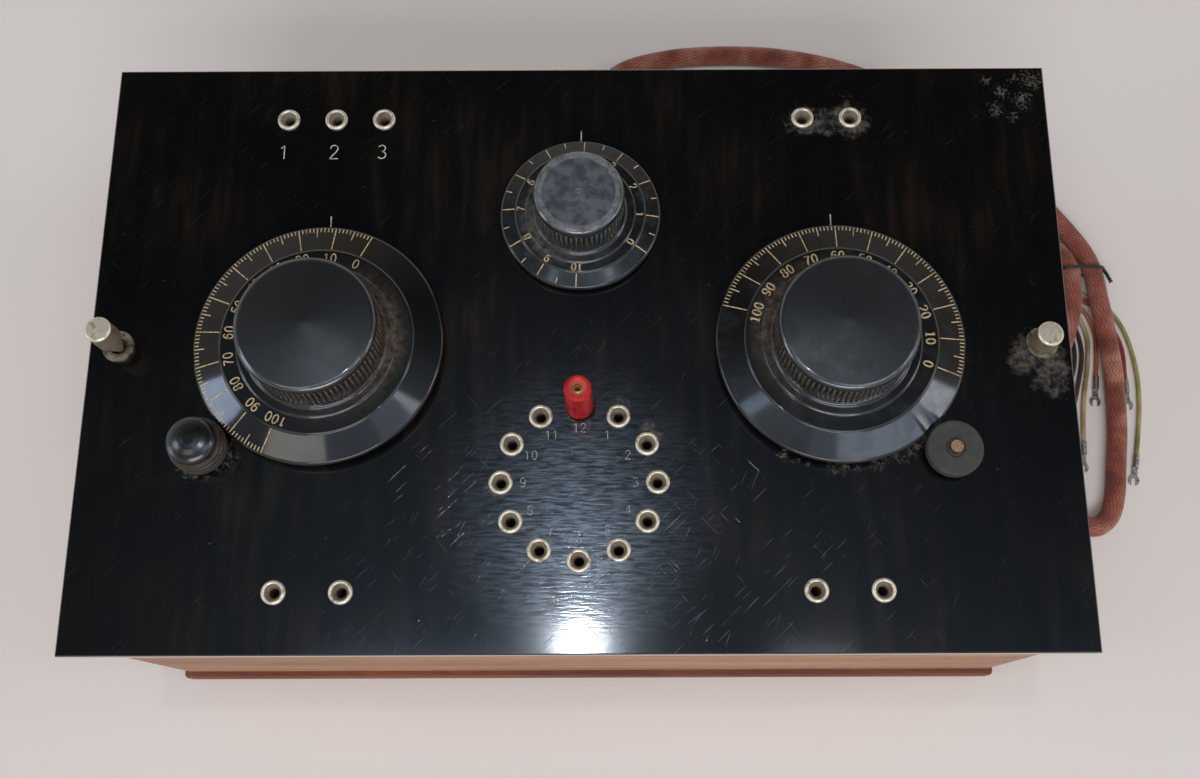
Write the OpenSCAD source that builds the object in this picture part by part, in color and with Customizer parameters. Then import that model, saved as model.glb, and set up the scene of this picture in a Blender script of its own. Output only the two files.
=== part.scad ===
// Battery tube radio of the 1920s: an ebonite panel on a shallow wooden box,
// with dials, sockets, friction drives, plug-in tubes and a braided battery cable.
// The box stands on its base plank, and the panel faces up. The front is towards -Y.

/* [Cabinet] */
// Width of the ebonite panel
panel_w = 400; // [370:1:440]
// Depth of the ebonite panel, front to back
panel_d = 250; // [226:1:280]
// Thickness of the ebonite panel
panel_t = 6; // [5:0.5:8]
// Height of the box walls between the base plank and the panel
wall_h = 134; // [130:1:160]
// Thickness of the box walls
wall_t = 10; // [9:0.5:14]
// How far the panel stands out over the side walls
side_overhang = 7; // [5:0.5:9]
// How far the panel stands out over the front and rear walls
front_overhang = 4; // [2:0.5:5]
// Thickness of the base plank
plank_t = 10; // [8:0.5:16]
// How far the base plank stands out beyond the walls
plank_lip = 3; // [1:0.5:6]
// Depth of the corner rebates in the front and rear walls
rebate = 5; // [3:0.5:7]

/* [Large dials] */
// Distance of each large dial from the centre line
dial_x = 105; // [100:1:110]
// Place of the large dials, front to back
dial_y = -2; // [-6:1:2]
// Radius of a large dial
dial_r = 50.2; // [46:0.1:52]
// Height of the dial's rim above the panel
rim_z = 8; // [7.5:0.5:9]
// Radius of the flat ring that carries the numbers
ring_r = 38.9; // [36:0.1:41]
// Height of the flat number ring above the panel
ring_z = 11; // [10.5:0.5:12]
// Radius of the fluted grip
grip_r = 27.4; // [25:0.1:29]
// Number of flutes around the grip
grip_flutes = 80; // [48:2:96]
// Height of the knob above the panel
knob_z = 33; // [30:0.5:38]
// Reading of the station dial at rest, on its scale of 0 to 100
station_reading = 13; // [0:1:100]
// Reading of the volume dial at rest, on its scale of 0 to 100
volume_reading = 60; // [0:1:100]

/* [Filament dial] */
// Place of the filament dial, front to back
small_y = 55; // [52:1:58]
// Radius of the filament dial
small_r = 33.3; // [31:0.1:36]
// Radius of its flat number ring
small_ring_r = 27; // [25:0.1:29]
// Radius of its fluted grip
small_grip_r = 18.2; // [16:0.1:20]
// Number of flutes around its grip
small_flutes = 54; // [36:2:60]
// Height of its knob above the panel
small_z = 26.4; // [24:0.2:30]

/* [Friction drives] */
// Radius of the rubber wheel that turns a large dial by its rim
wheel_r = 11.2; // [9:0.1:12]
// Thickness of the rubber wheel
wheel_t = 5; // [4:0.5:6]
// Angle of the station drive below the dial's side, in degrees
station_drive_a = 43; // [38:1:50]
// Angle of the volume drive below the dial's side, in degrees
volume_drive_a = 46; // [38:1:50]
// Radius of the spindle of a drive
spindle_r = 2.5; // [2:0.1:3]
// Radius of the domed drive knob
drive_knob_r = 9.6; // [8:0.1:10.5]
// Height of the domed drive knob above the panel
drive_knob_z = 18.5; // [16:0.5:24]
// Radius of the worn scallop in the volume dial's rim
scallop_r = 13; // [12:0.1:14]

/* [Sockets] */
// Bore radius of every socket, for a 4 mm plug
socket_bore_r = 2.05; // [2:0.01:2.1]
// Radius of a socket's flange
socket_flange_r = 4.85; // [4.5:0.05:5.5]
// Radius of a socket's shank in the panel
socket_shank_r = 3.45; // [3:0.05:3.8]
// Length of a socket below the panel's upper face
socket_len = 18; // [16:0.5:22]
// Radius of the ring of tapping sockets
tap_ring_r = 31.1; // [28:0.1:34]
// Number of tapping sockets in the ring
tap_n = 12; // [8:1:12]
// Place of the ring's centre, front to back
tap_y = -58; // [-62:1:-54]
// Spacing of the three aerial sockets
aerial_step = 20.4; // [16:0.1:24]
// Distance of the aerial and earth sockets from the panel's rear edge
aerial_y = 24; // [23:1:27]
// Distance between the two earth sockets
earth_step = 20.4; // [16:0.1:24]
// Distance between the two sockets of a headphone pair
phone_step = 26; // [19:0.5:28]
// Distance of the headphone sockets from the panel's front edge
phone_y = 24; // [23:1:27]

/* [Plug and screws] */
// Radius of the red plug's handle at its foot
plug_r = 5.7; // [5:0.1:6.5]
// Height of the red plug's handle
plug_h = 26; // [20:0.5:30]
// Length of the plug's pin
pin_len = 15; // [10:0.5:17]
// Place of the thumbscrews, front to back
screw_y = -1; // [-6:1:6]
// Radius of a thumbscrew's head
screw_head_r = 5.2; // [4.5:0.1:6]
// Length of a thumbscrew's head
screw_head_h = 12; // [10:0.5:14]
// Radius of a thumbscrew's threaded shank
screw_shank_r = 2; // [1.5:0.1:2.2]
// How far the left thumbscrew is unscrewed at rest
screw_out = 10; // [0:0.5:12]

/* [Inside] */
// Radius of the rotor vanes of the variable condensers
rotor_r = 30; // [26:0.5:31]
// Number of rotor vanes in the station condenser
station_vanes = 8; // [4:1:9]
// Number of rotor vanes in the volume condenser
volume_vanes = 5; // [3:1:9]
// Spacing of the rotor vanes
vane_step = 4; // [3.6:0.1:4.4]
// Thickness of a vane
vane_t = 0.8; // [0.6:0.1:1]
// Radius of a dial shaft
shaft_r = 3; // [2.5:0.1:3.2]
// Radius of the coil former under the socket ring
coil_r = 21; // [18:0.5:22]
// Length of the coil former
coil_len = 60; // [40:1:70]
// Distance of the tubes from the panel's rear edge
tube_y = 55; // [53:1:59]
// Distance of the inner tubes from the centre line
tube_x = 62; // [58:1:66]
// Distance of the output tube from the panel's right edge
output_x = 52; // [48:1:54]
// Radius of a tube's bulb
bulb_r = 20; // [17:0.5:22]
// Height of a tube above its holder
tube_h = 84; // [78:1:88]
// Radius of a tube's contact pins
tube_pin_r = 1.6; // [1.4:0.05:1.8]
// Height of a tube holder
holder_h = 16; // [14:0.5:18]

/* [Battery cable] */
// Diameter of the braided battery cable
cable_d = 10; // [9:0.1:10.4]
// Diameter of a free lead of the cable
lead_d = 2.4; // [2:0.1:2.5]

/* [Hidden] */
$fn = 48;

fit = 0.05;          // radial clearance of a running fit
gap = 0.3;           // clearance between faces that pass each other
eps = 0.01;          // overlap that makes a cut go right through
panel_z = plank_t + wall_h;         // underside of the panel
top_z = panel_z + panel_t;          // upper face of the panel
wall_x = panel_w / 2 - side_overhang;
wall_y = panel_d / 2 - front_overhang;
inner_x = wall_x - wall_t;
inner_y = wall_y - wall_t;
panel_chamfer = 0.5;
plank_round = 1.5;   // worn rounding of the plank's upper edge

// Dials
hub_r = 11;
bush_flange = 1.5;   // height of a shaft bush's flange above the panel
hub_z = bush_flange + gap;
shell = 3.2;         // wall of a moulded dial
small_rim_z = 5;
small_ring_z = 7;
crown = 1.2;         // rise of the knob's top to its centre
flute_depth = 0.6;
grip_foot = 2;       // where the flutes start above the number ring
cap_h = 4;           // height of the smooth cap over the flutes
tick_step = 1.8;     // turn per unit of a large dial's scale, in degrees
index_a = 90;        // place of the engraved index line
station_zero_a = index_a - station_reading * tick_step;
volume_zero_a = index_a - volume_reading * tick_step;

// Friction drives
drive_dist = dial_r + wheel_r + gap;
station_drive = [-dial_x - drive_dist * cos(station_drive_a),
    dial_y - drive_dist * sin(station_drive_a)];
volume_drive = [dial_x + drive_dist * cos(volume_drive_a),
    dial_y - drive_dist * sin(volume_drive_a)];
wheel_z = 3.2;       // underside of a rubber wheel above the panel
spindle_flange = 1.2;
spindle_bush_r = 3.9;
shoulder_r = 3.4;
collar_t = 1.2;
spindle_top = wheel_z + wheel_t + 2.5;

// Bushes, nuts and condensers, measured down from the panel's underside
bush_r = 5;
bush_flange_r = 8;
nut_t = 3;
nut_r = 5.2;
big_nut_r = 7.6;
plate_t = 3;
frame_rim = 9;       // how far the end plates stand out beyond the rotor vanes
frame_r = rotor_r + frame_rim;
pillar_r = 2.5;
rod_r = 1.6;
rod_a = [200, 270, 340];
rod_inset = 3.5;
pillar_inset = 1;
stator_inset = 2.5;
vane_clear = 1;      // free space between the last vane and the lower plate
vane_start = 5;      // first vane below the bush's nut
wire_drop = 6;       // how far the wires pass below the lower plates
wire_inset = 10;     // where a wire meets the lower plate, in from its edge
pillar_a = [30, 90, 150];
stator_r = frame_r - stator_inset;
vane_hub_r = 6;
stator_hole_r = vane_hub_r + 1.5;
first_vane = plate_t + nut_t + vane_start;
shaft_end = 3;       // how far a shaft stands out under the lower plate
disc_t = 4;          // disc of the rheostat former
rheo_wall_in = 17;
rheo_wall_out = 20;
rheo_h = 14;
wiper_t = 1.2;

// Screws and plug
screw_x = wall_x - wall_t / 2;
neck_r = 3.2;
washer_t = 1.2;
shank_len = 18;
insert_r = 3.4;
insert_len = 20;
mouth_r = 3;
flange_h = 1.3;      // height of a socket's flange above the panel
mouth_depth = 1.5;

// Coil under the socket ring
former_t = 3;        // mounting disc of the coil former
former_wall = 1.5;
coil_turns = 20;
wind_top = 8;        // first turn below the panel
wind_foot = 6;       // bare former below the last turn
wire_r = 0.9;

// Baseboard
holder_r = 20;
tube_base_r = 14;
tube_base_h = 18;
tube_pin_len = 13;
strip_len = 78;
strip_d = 16;
strip_h = 8;
strip_inset = 19;    // distance of the strip's middle from the rear wall
strip_y = inner_y - strip_inset;
strip_screw_h = 2.5;
screw_step = 12;     // spacing of the strip's terminal screws
tail_step = 1.6;     // spacing of the cable's tails where they leave its end
core_inset = 35;     // distance of the transformer's middle from the left wall
core_x = core_inset - inner_x;
lead_n = 6;
bus_r = 0.7;

// Battery cable
cable_r = cable_d / 2;
lead_r = lead_d / 2;
bush_out = 4;        // how far the cable bush stands out of the rear wall
exit_z = 24;
cable_in = 3;        // how far the cable's end stands inside the rear wall

// Places of the sockets and the tubes
aerial_row = panel_d / 2 - aerial_y;
phone_row = phone_y - panel_d / 2;
tube_row = panel_d / 2 - tube_y;
aerial_at = [for (i = [-1:1]) [-dial_x + i * aerial_step, aerial_row]];
earth_at = [for (i = [-1, 1]) [dial_x + i * earth_step / 2, aerial_row]];
phone_at = [for (s = [-1, 1], i = [-1, 1]) [s * dial_x + i * phone_step / 2, phone_row]];
tap_at = [for (i = [0:tap_n - 1])
    [tap_ring_r * sin(i * 360 / tap_n), tap_y + tap_ring_r * cos(i * 360 / tap_n)]];
detector_at = [-tube_x, tube_row];
driver_at = [tube_x, tube_row];
output_at = [panel_w / 2 - output_x, tube_row];
pin_at = [[-6, 0], [6, 0], [0, 7], [0, -9]];

// Centre line of the battery cable, from the rear wall to its folded-back end
cable_route = [[0, inner_y - cable_in, exit_z], [0, 140, exit_z], [0, 160, 15], [1, 181, 5.5], [14, 204, 5],
    [40, 213.5, 5], [72, 216.5, 5], [106, 214.5, 5], [140, 206.5, 5], [172, 191.5, 5],
    [202, 168.5, 5], [228, 142, 5.2], [245, 122, 6.2], [256, 106, 7.6], [262.5, 95, 8],
    [266.2, 84, 8], [268, 68, 8], [270, 50, 7.6], [272, 28, 5.8], [271.3, 2, 5],
    [268.5, -20, 5], [266, -36, 5], [262, -46, 5], [254.5, -51, 5], [245.5, -48, 5],
    [238.5, -37, 5], [233.5, -20, 5], [231.5, -2, 5], [234.5, 16, 5], [240.5, 31, 5.2],
    [248, 48, 7.4], [253.4, 66, 8], [254.5, 84, 8], [249.8, 96, 7], [241.5, 105.5, 5.2]];
// The leads fold back round one centre, pass under the cable side by side and fan out
fold_c = [229.5, 94.8];
fold_a = [72, 128, 188, 248];
fold_r = [8.6, 11.6, 14.6, 17.6, 20.6, 23.6];
start_out = [-3.9, -2.3, -0.75, 0.75, 2.25, 3.75];
start_up = [-1.3, 1.3, -1.3, 1.3, -1.3, 1.3];
start_drop = [0, 2.8, 0, 2.8, 0, 2.8];
fan = [
    [[250, 78.4], [269, 71], [280.5, 57.5], [286.3, 37], [286.3, 14], [281, -13]],
    [[250, 75.5], [268, 67.3], [275.3, 56.2], [279.6, 44], [279.6, 27]],
    [[250, 72.5], [261, 66], [266, 54], [266, 42], [264.5, 29]],
    [[249, 69.5], [257.5, 63.5], [262, 50], [260.5, 34], [256.5, 14], [254.5, -6]],
    [[247, 67], [254.5, 60], [258.2, 47], [257, 33], [248.5, 3]],
    [[244, 65.2], [251.5, 57.5], [254.6, 45], [253, 32], [245.8, 15]]
];
tie_at = [259.7, 85.5, 8];
tie_half = 6.2;
tie_wire = 1.2;
tie_gap = 0.5;
barrel_r = 1.5;
barrel_len = 7;
tongue_r = 2.8;
tongue_t = 0.8;

// Vectors and swept tubes
function unit(v) = v / norm(v);
function heading(p, i) = unit(p[min(i + 1, len(p) - 1)] - p[max(i - 1, 0)]);
function ring_at(p, i, r, n) =
    let (t = heading(p, i), s = unit(cross(t, [0, 0, 1])), u = cross(s, t))
    [for (k = [0:n - 1]) p[i] + r * (cos(360 * k / n) * s + sin(360 * k / n) * u)];
function lift(q, z) = [q[0], q[1], z];
cable_end = cable_route[len(cable_route) - 1];
cable_way = heading(cable_route, len(cable_route) - 1);
end_side = unit([cable_way[1], -cable_way[0], 0]);
function lead_start(i) = cable_end + start_out[i] * end_side
    + start_up[i] * cross(end_side, cable_way);
function lead_route(i) = concat(
    [lead_start(i), lead_start(i) + 2 * cable_way],
    [for (k = [0:len(fold_a) - 1]) lift(fold_c + fold_r[i] * [cos(fold_a[k]), sin(fold_a[k])],
        lead_r + (k == 0 ? start_drop[i] : 0))],
    [for (q = fan[i]) lift(q, lead_r)]);

module sweep(p, r, n) {
    m = len(p);
    points = [for (i = [0:m - 1]) each ring_at(p, i, r, n)];
    sides = [for (i = [0:m - 2], k = [0:n - 1])
        let (a = i * n + k, b = i * n + (k + 1) % n)
        each [[a, b, b + n], [a, b + n, a + n]]];
    first = [for (k = [0:n - 1]) n - 1 - k];
    last = [for (k = [0:n - 1]) (m - 1) * n + k];
    polyhedron(points, concat([first], sides, [last]));
}

// A straight round bar from a to b
module bar(a, b, r) {
    v = b - a;
    translate(a)
        rotate([0, acos(v[2] / norm(v)), atan2(v[1], v[0])])
            cylinder(r = r, h = norm(v));
}

// A stiff connecting wire along straight runs with round corners, all at the height z where
// its points have none
module bus(p, z) {
    q = [for (v = p) len(v) == 3 ? v : lift(v, z)];
    for (i = [0:len(q) - 2])
        bar(q[i], q[i + 1], bus_r);
    for (i = [1:1:len(q) - 2])
        translate(q[i]) sphere(r = bus_r);
}

module at(places, z)
    for (p = places)
        translate([p[0], p[1], z]) children();

module hex_nut(r, h, hole)
    difference() {
        cylinder(r = r, h = h, $fn = 6);
        translate([0, 0, -eps]) cylinder(r = hole, h = h + 2 * eps);
    }

// Box, from the base plank to the panel's screws

module base_plank() color("#8a4a30")
    hull()
        for (x = [-1, 1], y = [-1, 1])
            translate([x * (wall_x + plank_lip - 2), y * (wall_y + plank_lip - 2), 0]) {
                cylinder(r = 2, h = plank_t - plank_round, $fn = 24);
                cylinder(r = 2 - plank_round / 2, h = plank_t, $fn = 24);
            }

module wall_board(side) {
    translate([-wall_x, side > 0 ? inner_y : -wall_y, plank_t])
        difference() {
            cube([2 * wall_x, wall_t, wall_h]);
            for (x = [-eps, 2 * wall_x - wall_t])
                translate([x, side > 0 ? -eps : wall_t - rebate, -eps])
                    cube([wall_t + eps, rebate + eps, wall_h + 2 * eps]);
        }
}

module front_wall() color("#c99a78") wall_board(-1);

module rear_wall() color("#c4946f")
    difference() {
        wall_board(1);
        translate([0, wall_y + eps, exit_z]) rotate([90, 0, 0])
            cylinder(r = cable_r + 1.5, h = wall_t + 2 * eps);
    }

module side_walls() color("#c4946f")
    for (s = [-1, 1])
        difference() {
            translate([s > 0 ? inner_x : -wall_x, -inner_y - rebate, plank_t])
                cube([wall_t, 2 * (inner_y + rebate), wall_h]);
            translate([s * screw_x, screw_y, panel_z - insert_len])
                cylinder(r = insert_r, h = insert_len + eps);
        }

module insert_nuts() color("#c9a34a")
    for (s = [-1, 1])
        translate([s * screw_x, screw_y, panel_z - insert_len])
            difference() {
                cylinder(r = insert_r, h = insert_len);
                translate([0, 0, -eps])
                    cylinder(r = screw_shank_r + fit, h = insert_len + 2 * eps);
            }

// Bakelite bush that the battery cable leaves the box through
module cable_bush() color("#2a1c16")
    translate([0, wall_y + bush_out, exit_z]) rotate([90, 0, 0])
        rotate_extrude()
            polygon([[cable_r + gap, 0], [cable_r + 1, 0], [cable_r + 3.5, bush_out - 1.5],
                [cable_r + 3.5, bush_out], [cable_r + 1.5, bush_out],
                [cable_r + 1.5, bush_out + wall_t], [cable_r + 3.5, bush_out + wall_t],
                [cable_r + 3.5, bush_out + wall_t + 2], [cable_r + gap, bush_out + wall_t + 2]]);

// Parts on the baseboard

module terminal_strip() color("#1d1a18")
    translate([0, strip_y, plank_t]) {
        translate([-strip_len / 2, -strip_d / 2, 0]) cube([strip_len, strip_d, strip_h]);
        for (k = [0:lead_n - 1])
            translate([(k - (lead_n - 1) / 2) * screw_step, 0, strip_h])
                cylinder(r = 2.6, h = strip_screw_h);
    }

// Round holder with sprung sockets for the four pins of a tube
module tube_holder() {
    translate([0, 0, plank_t])
        difference() {
            rotate_extrude()
                polygon([[0, 0], [holder_r, 0], [holder_r, 4], [holder_r - 3, 5],
                    [holder_r - 3, holder_h - 1], [holder_r - 4, holder_h], [0, holder_h]]);
            at(pin_at, holder_h - tube_pin_len - 1)
                cylinder(r = tube_pin_r + fit, h = tube_pin_len + 2);
        }
}

module detector_holder() color("#2b2320") at([detector_at], 0) tube_holder();
module driver_holder() color("#2b2320") at([driver_at], 0) tube_holder();
module output_holder() color("#2b2320") at([output_at], 0) tube_holder();

// Laminated shell core of the transformer between the tubes
core_w = 46;
core_h = 50;
core_d = 18;
leg = 6;
window_w = 11;
core_foot = 8;       // how far the mounting feet stand out beside the core
module transformer_core() color("#4a4a4c")
    translate([core_x, tube_row, plank_t]) {
        translate([-core_w / 2 - core_foot, -core_d / 2, 0])
            cube([core_w + 2 * core_foot, core_d, 2]);
        translate([0, core_d / 2, 2]) rotate([90, 0, 0]) linear_extrude(core_d)
            difference() {
                translate([-core_w / 2, 0]) square([core_w, core_h]);
                for (x = [-core_w / 2 + leg, core_w / 2 - leg - window_w])
                    translate([x, leg]) square([window_w, core_h - 2 * leg]);
            }
    }

module transformer_winding() color("#a03a2a")
    translate([core_x, tube_row, plank_t + 2 + leg])
        difference() {
            wind_w = core_w - 2 * leg - 2 * gap;
            translate([-wind_w / 2, -core_d, gap])
                cube([wind_w, 2 * core_d, core_h - 2 * leg - 2 * gap]);
            translate([leg + window_w - core_w / 2, -core_d / 2, -eps])
                cube([core_w - 2 * (leg + window_w), core_d, core_h]);
        }

// Glass grid leak in spring clips on a small block
leak_len = 36;
leak_step = 44;      // distance of the grid leak in front of its tube
module grid_leak() color("#d8c9a0")
    translate([-tube_x, tube_row - leak_step, plank_t]) {
        translate([-leak_len / 2 - 4, -6, 0]) cube([leak_len + 8, 12, 5]);
        for (s = [-1, 1])
            translate([s * leak_len / 2 - 1, -3, 5]) cube([2, 6, 6]);
        translate([-leak_len / 2 - 3, 0, 13]) rotate([0, 90, 0])
            cylinder(r = 3, h = leak_len + 6);
    }

module baseboard_wiring() color("#b9b4a8") {
    // Tails of the cable from its bush to the terminal screws
    for (k = [0:lead_n - 1])
        let (out = (k - (lead_n - 1) / 2) * tail_step, up = (k % 2 == 0 ? 1 : -1) * tail_step,
            end = cable_route[0][1])
            bus([[out, end, exit_z + up], [out, end - 2, exit_z + up],
                [(k - (lead_n - 1) / 2) * screw_step, strip_y,
                    plank_t + strip_h + strip_screw_h + bus_r]]);
    // Stiff wires from the strip to the tube holders and the transformer
    for (s = [-1, 1])
        bus([[s * strip_len / 2, strip_y, plank_t + 4], [s * tube_x, strip_y, plank_t + 4],
            [s * tube_x, tube_row + holder_r, plank_t + 4]]);
    bus([driver_at + [holder_r, 0], output_at - [holder_r, 0]], plank_t + 3);
    bus([[core_x + core_w / 2 + core_foot, tube_row], detector_at - [holder_r, 0]], plank_t + 1);
}

// Battery cable, its leads and what is on them

module battery_cable() color("#8c4a3c") sweep(cable_route, cable_r, 12);
module lead_yellow() color("#b5ab63") sweep(lead_route(0), lead_r, 8);
module lead_red() color("#a8322b") sweep(lead_route(1), lead_r, 8);
module lead_brown() color("#4a2c22") sweep(lead_route(4), lead_r, 8);
module lead_cream() color("#c9b07a") sweep(lead_route(3), lead_r, 8);
module lead_orange() color("#c8642d") sweep(lead_route(2), lead_r, 8);
module lead_black() color("#2a2220") sweep(lead_route(5), lead_r, 8);

// Spade lug: a barrel over the wire and a flat slotted tongue
module lug() {
    translate([0, 0, barrel_r]) rotate([0, 90, 0]) cylinder(r = barrel_r, h = barrel_len);
    linear_extrude(tongue_t)
        difference() {
            union() {
                translate([barrel_len - 1, -barrel_r]) square([5, 2 * barrel_r]);
                translate([barrel_len + 6.5, 0]) circle(r = tongue_r);
            }
            translate([barrel_len + 6.5, 0]) circle(r = 1.2);
            translate([barrel_len + 6.5, -1.2]) square([tongue_r + 1, 2.4]);
        }
}

module lead_lugs() color("#77736c")
    for (i = [0:lead_n - 1]) {
        p = lead_route(i);
        w = heading(p, len(p) - 1);
        translate(lift(p[len(p) - 1], 0)) rotate([0, 0, atan2(w[1], w[0])]) lug();
    }

module stadium(r) {
    for (s = [-1, 1])
        translate([s * tie_half, 0]) circle(r = r);
    translate([-tie_half, -r]) square([2 * tie_half, 2 * r]);
}

// Wire tied round two strands of the cable
module cable_tie() color("#1b1b1d") {
    translate(tie_at + [0, 0.7, 0]) rotate([90, 0, 0]) linear_extrude(1.4)
        difference() {
            stadium(cable_r + tie_gap + tie_wire);
            stadium(cable_r + tie_gap);
        }
    bar(tie_at + [tie_half + cable_r + 0.8, 0, 1.5], tie_at + [tie_half + cable_r + 6, -5, -3], 0.6);
}

// Panel and what is clamped to it

module bevel_slab(w, d, t, c)
    intersection() {
        translate([w / 2, 0, 0]) rotate([90, 0, -90]) linear_extrude(w)
            polygon([[-d / 2, 0], [d / 2, 0], [d / 2, t - c], [d / 2 - c, t],
                [c - d / 2, t], [-d / 2, t - c]]);
        translate([0, d / 2, 0]) rotate([90, 0, 0]) linear_extrude(d)
            polygon([[-w / 2, 0], [w / 2, 0], [w / 2, t - c], [w / 2 - c, t],
                [c - w / 2, t], [-w / 2, t - c]]);
    }

module ebonite_panel() color("#15110f")
    translate([0, 0, panel_z])
        difference() {
            bevel_slab(panel_w, panel_d, panel_t, panel_chamfer);
            at(concat(aerial_at, earth_at, phone_at, tap_at), -eps)
                cylinder(r = socket_shank_r, h = panel_t + 2 * eps);
            at([[-dial_x, dial_y], [dial_x, dial_y], [0, small_y]], -eps)
                cylinder(r = bush_r, h = panel_t + 2 * eps);
            at([station_drive, volume_drive], -eps)
                cylinder(r = spindle_bush_r, h = panel_t + 2 * eps);
            at([[-screw_x, screw_y], [screw_x, screw_y]], -eps)
                cylinder(r = neck_r + gap, h = panel_t + 2 * eps);
        }

// Turned 4 mm socket with a rounded flange and a countersunk mouth
module socket()
    rotate_extrude()
        polygon([[socket_bore_r, -socket_len], [socket_shank_r, -socket_len],
            [socket_shank_r, 0], [socket_flange_r, 0], [socket_flange_r, flange_h - 0.7],
            [socket_flange_r - 0.6, flange_h], [mouth_r + 0.3, flange_h],
            [mouth_r, flange_h - 0.3], [socket_bore_r, -mouth_depth]]);

module aerial_sockets() color("#cfc8b4") at(aerial_at, top_z) socket();
module earth_sockets() color("#cfc8b4") at(earth_at, top_z) socket();
module phone_sockets() color("#cfc8b4") at(phone_at, top_z) socket();
module tap_sockets() color("#cfc8b4") at(tap_at, top_z) socket();

module socket_nuts() color("#b59a5a") {
    at(concat(aerial_at, earth_at, phone_at), panel_z - nut_t)
        hex_nut(nut_r, nut_t, socket_shank_r);
    at(tap_at, panel_z - former_t - nut_t) hex_nut(nut_r, nut_t, socket_shank_r);
}

// Ebonite former of the tapped coil, clamped under the panel by the socket nuts
module coil_former() color("#241b16")
    difference() {
        translate([0, tap_y, panel_z]) mirror([0, 0, 1])
            rotate_extrude()
                polygon([[coil_r - former_wall, 0], [tap_ring_r + nut_r + 1.3, 0],
                    [tap_ring_r + nut_r + 1.3, former_t], [coil_r, former_t],
                    [coil_r, coil_len - 2], [coil_r + 2.5, coil_len - 2],
                    [coil_r + 2.5, coil_len], [coil_r - former_wall, coil_len]]);
        at(tap_at, panel_z - former_t - eps)
            cylinder(r = socket_shank_r + fit, h = former_t + 2 * eps);
    }

module coil_winding() color("#3f5a35")
    translate([0, tap_y, panel_z]) mirror([0, 0, 1])
        rotate_extrude() {
            turn = (coil_len - wind_top - wind_foot) / coil_turns;
            polygon(concat([[coil_r, wind_top], [coil_r + wire_r / 2, wind_top]],
                [for (i = [0:coil_turns - 1], j = [0, 1])
                    [coil_r + (j == 0 ? 2 : 1) * wire_r, wind_top + (i + 0.5 + j / 2) * turn]],
                [[coil_r, wind_top + coil_turns * turn]]));
        }

// Variable condensers: frame and fixed vanes stay, rotor vanes turn with the shaft

module half_vane(r, hole)
    linear_extrude(vane_t)
        difference() {
            intersection() {
                circle(r = r);
                translate([-r, 0]) square([2 * r, r]);
            }
            circle(r = hole);
        }

function lower_plate_z(n) = first_vane + n * vane_step + vane_clear;

module around(radius, angles)
    for (a = angles)
        translate([radius * cos(a), radius * sin(a), 0]) children();

module condenser_frame(n)
    translate([0, 0, panel_z]) mirror([0, 0, 1]) {
        difference() {
            cylinder(r = frame_r, h = plate_t);
            translate([0, 0, -eps]) cylinder(r = bush_r + fit, h = plate_t + 2 * eps);
        }
        translate([0, 0, lower_plate_z(n)])
            difference() {
                cylinder(r = frame_r, h = plate_t);
                translate([0, 0, -eps]) cylinder(r = shaft_r + fit, h = plate_t + 2 * eps);
            }
        around(frame_r - pillar_r - pillar_inset, pillar_a)
            translate([0, 0, plate_t]) cylinder(r = pillar_r, h = lower_plate_z(n) - plate_t);
    }

module condenser_stator(n)
    translate([0, 0, panel_z]) mirror([0, 0, 1]) {
        for (k = [0:n])
            translate([0, 0, first_vane + (k - 0.5) * vane_step])
                rotate([0, 0, 180]) half_vane(stator_r, stator_hole_r);
        around(frame_r - rod_r - rod_inset, rod_a)
            translate([0, 0, plate_t]) cylinder(r = rod_r, h = lower_plate_z(n) - plate_t);
    }

// Shaft with its hub and half-round vanes; zero_a is where the scale's zero stands
module condenser_rotor(n, zero_a) {
    bottom = panel_z - lower_plate_z(n);
    translate([0, 0, bottom - plate_t - shaft_end])
        cylinder(r = shaft_r, h = top_z + knob_z - cap_h - bottom + plate_t + shaft_end);
    translate([0, 0, bottom + gap])
        cylinder(r = vane_hub_r, h = lower_plate_z(n) - plate_t - nut_t - 2 * gap);
    for (k = [0:n - 1])
        translate([0, 0, panel_z - first_vane - k * vane_step - vane_t])
            rotate([0, 0, zero_a - index_a]) half_vane(rotor_r, shaft_r);
}

module station_frame() color("#4a3226") at([[-dial_x, dial_y]], 0) condenser_frame(station_vanes);
module station_stator() color("#c8a860") at([[-dial_x, dial_y]], 0) condenser_stator(station_vanes);
module volume_frame() color("#4a3226") at([[dial_x, dial_y]], 0) condenser_frame(volume_vanes);
module volume_stator() color("#c8a860") at([[dial_x, dial_y]], 0) condenser_stator(volume_vanes);
module station_rotor() color("#c8a860")
    at([[-dial_x, dial_y]], 0) condenser_rotor(station_vanes, station_zero_a);
module volume_rotor() color("#c8a860")
    at([[dial_x, dial_y]], 0) condenser_rotor(volume_vanes, volume_zero_a);

// One-hole bush: flange over the panel, barrel through what it clamps, nut below
module shaft_bush(below)
    difference() {
        union() {
            translate([0, 0, top_z]) cylinder(r = bush_flange_r, h = bush_flange);
            translate([0, 0, panel_z - below - nut_t])
                cylinder(r = bush_r, h = panel_t + below + nut_t);
            translate([0, 0, panel_z - below - nut_t])
                cylinder(r = big_nut_r, h = nut_t, $fn = 6);
        }
        translate([0, 0, panel_z - below - nut_t - eps])
            cylinder(r = shaft_r + fit, h = panel_t + below + nut_t + bush_flange + 2 * eps);
    }

module spindle_bush()
    difference() {
        union() {
            translate([0, 0, top_z]) cylinder(r = spindle_bush_r + 1.2, h = spindle_flange);
            translate([0, 0, panel_z - nut_t]) cylinder(r = spindle_bush_r, h = panel_t + nut_t);
            translate([0, 0, panel_z - nut_t]) cylinder(r = nut_r + 0.8, h = nut_t, $fn = 6);
        }
        translate([0, 0, panel_z - nut_t - eps])
            cylinder(r = spindle_r + fit, h = panel_t + nut_t + spindle_flange + 2 * eps);
    }

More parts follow.
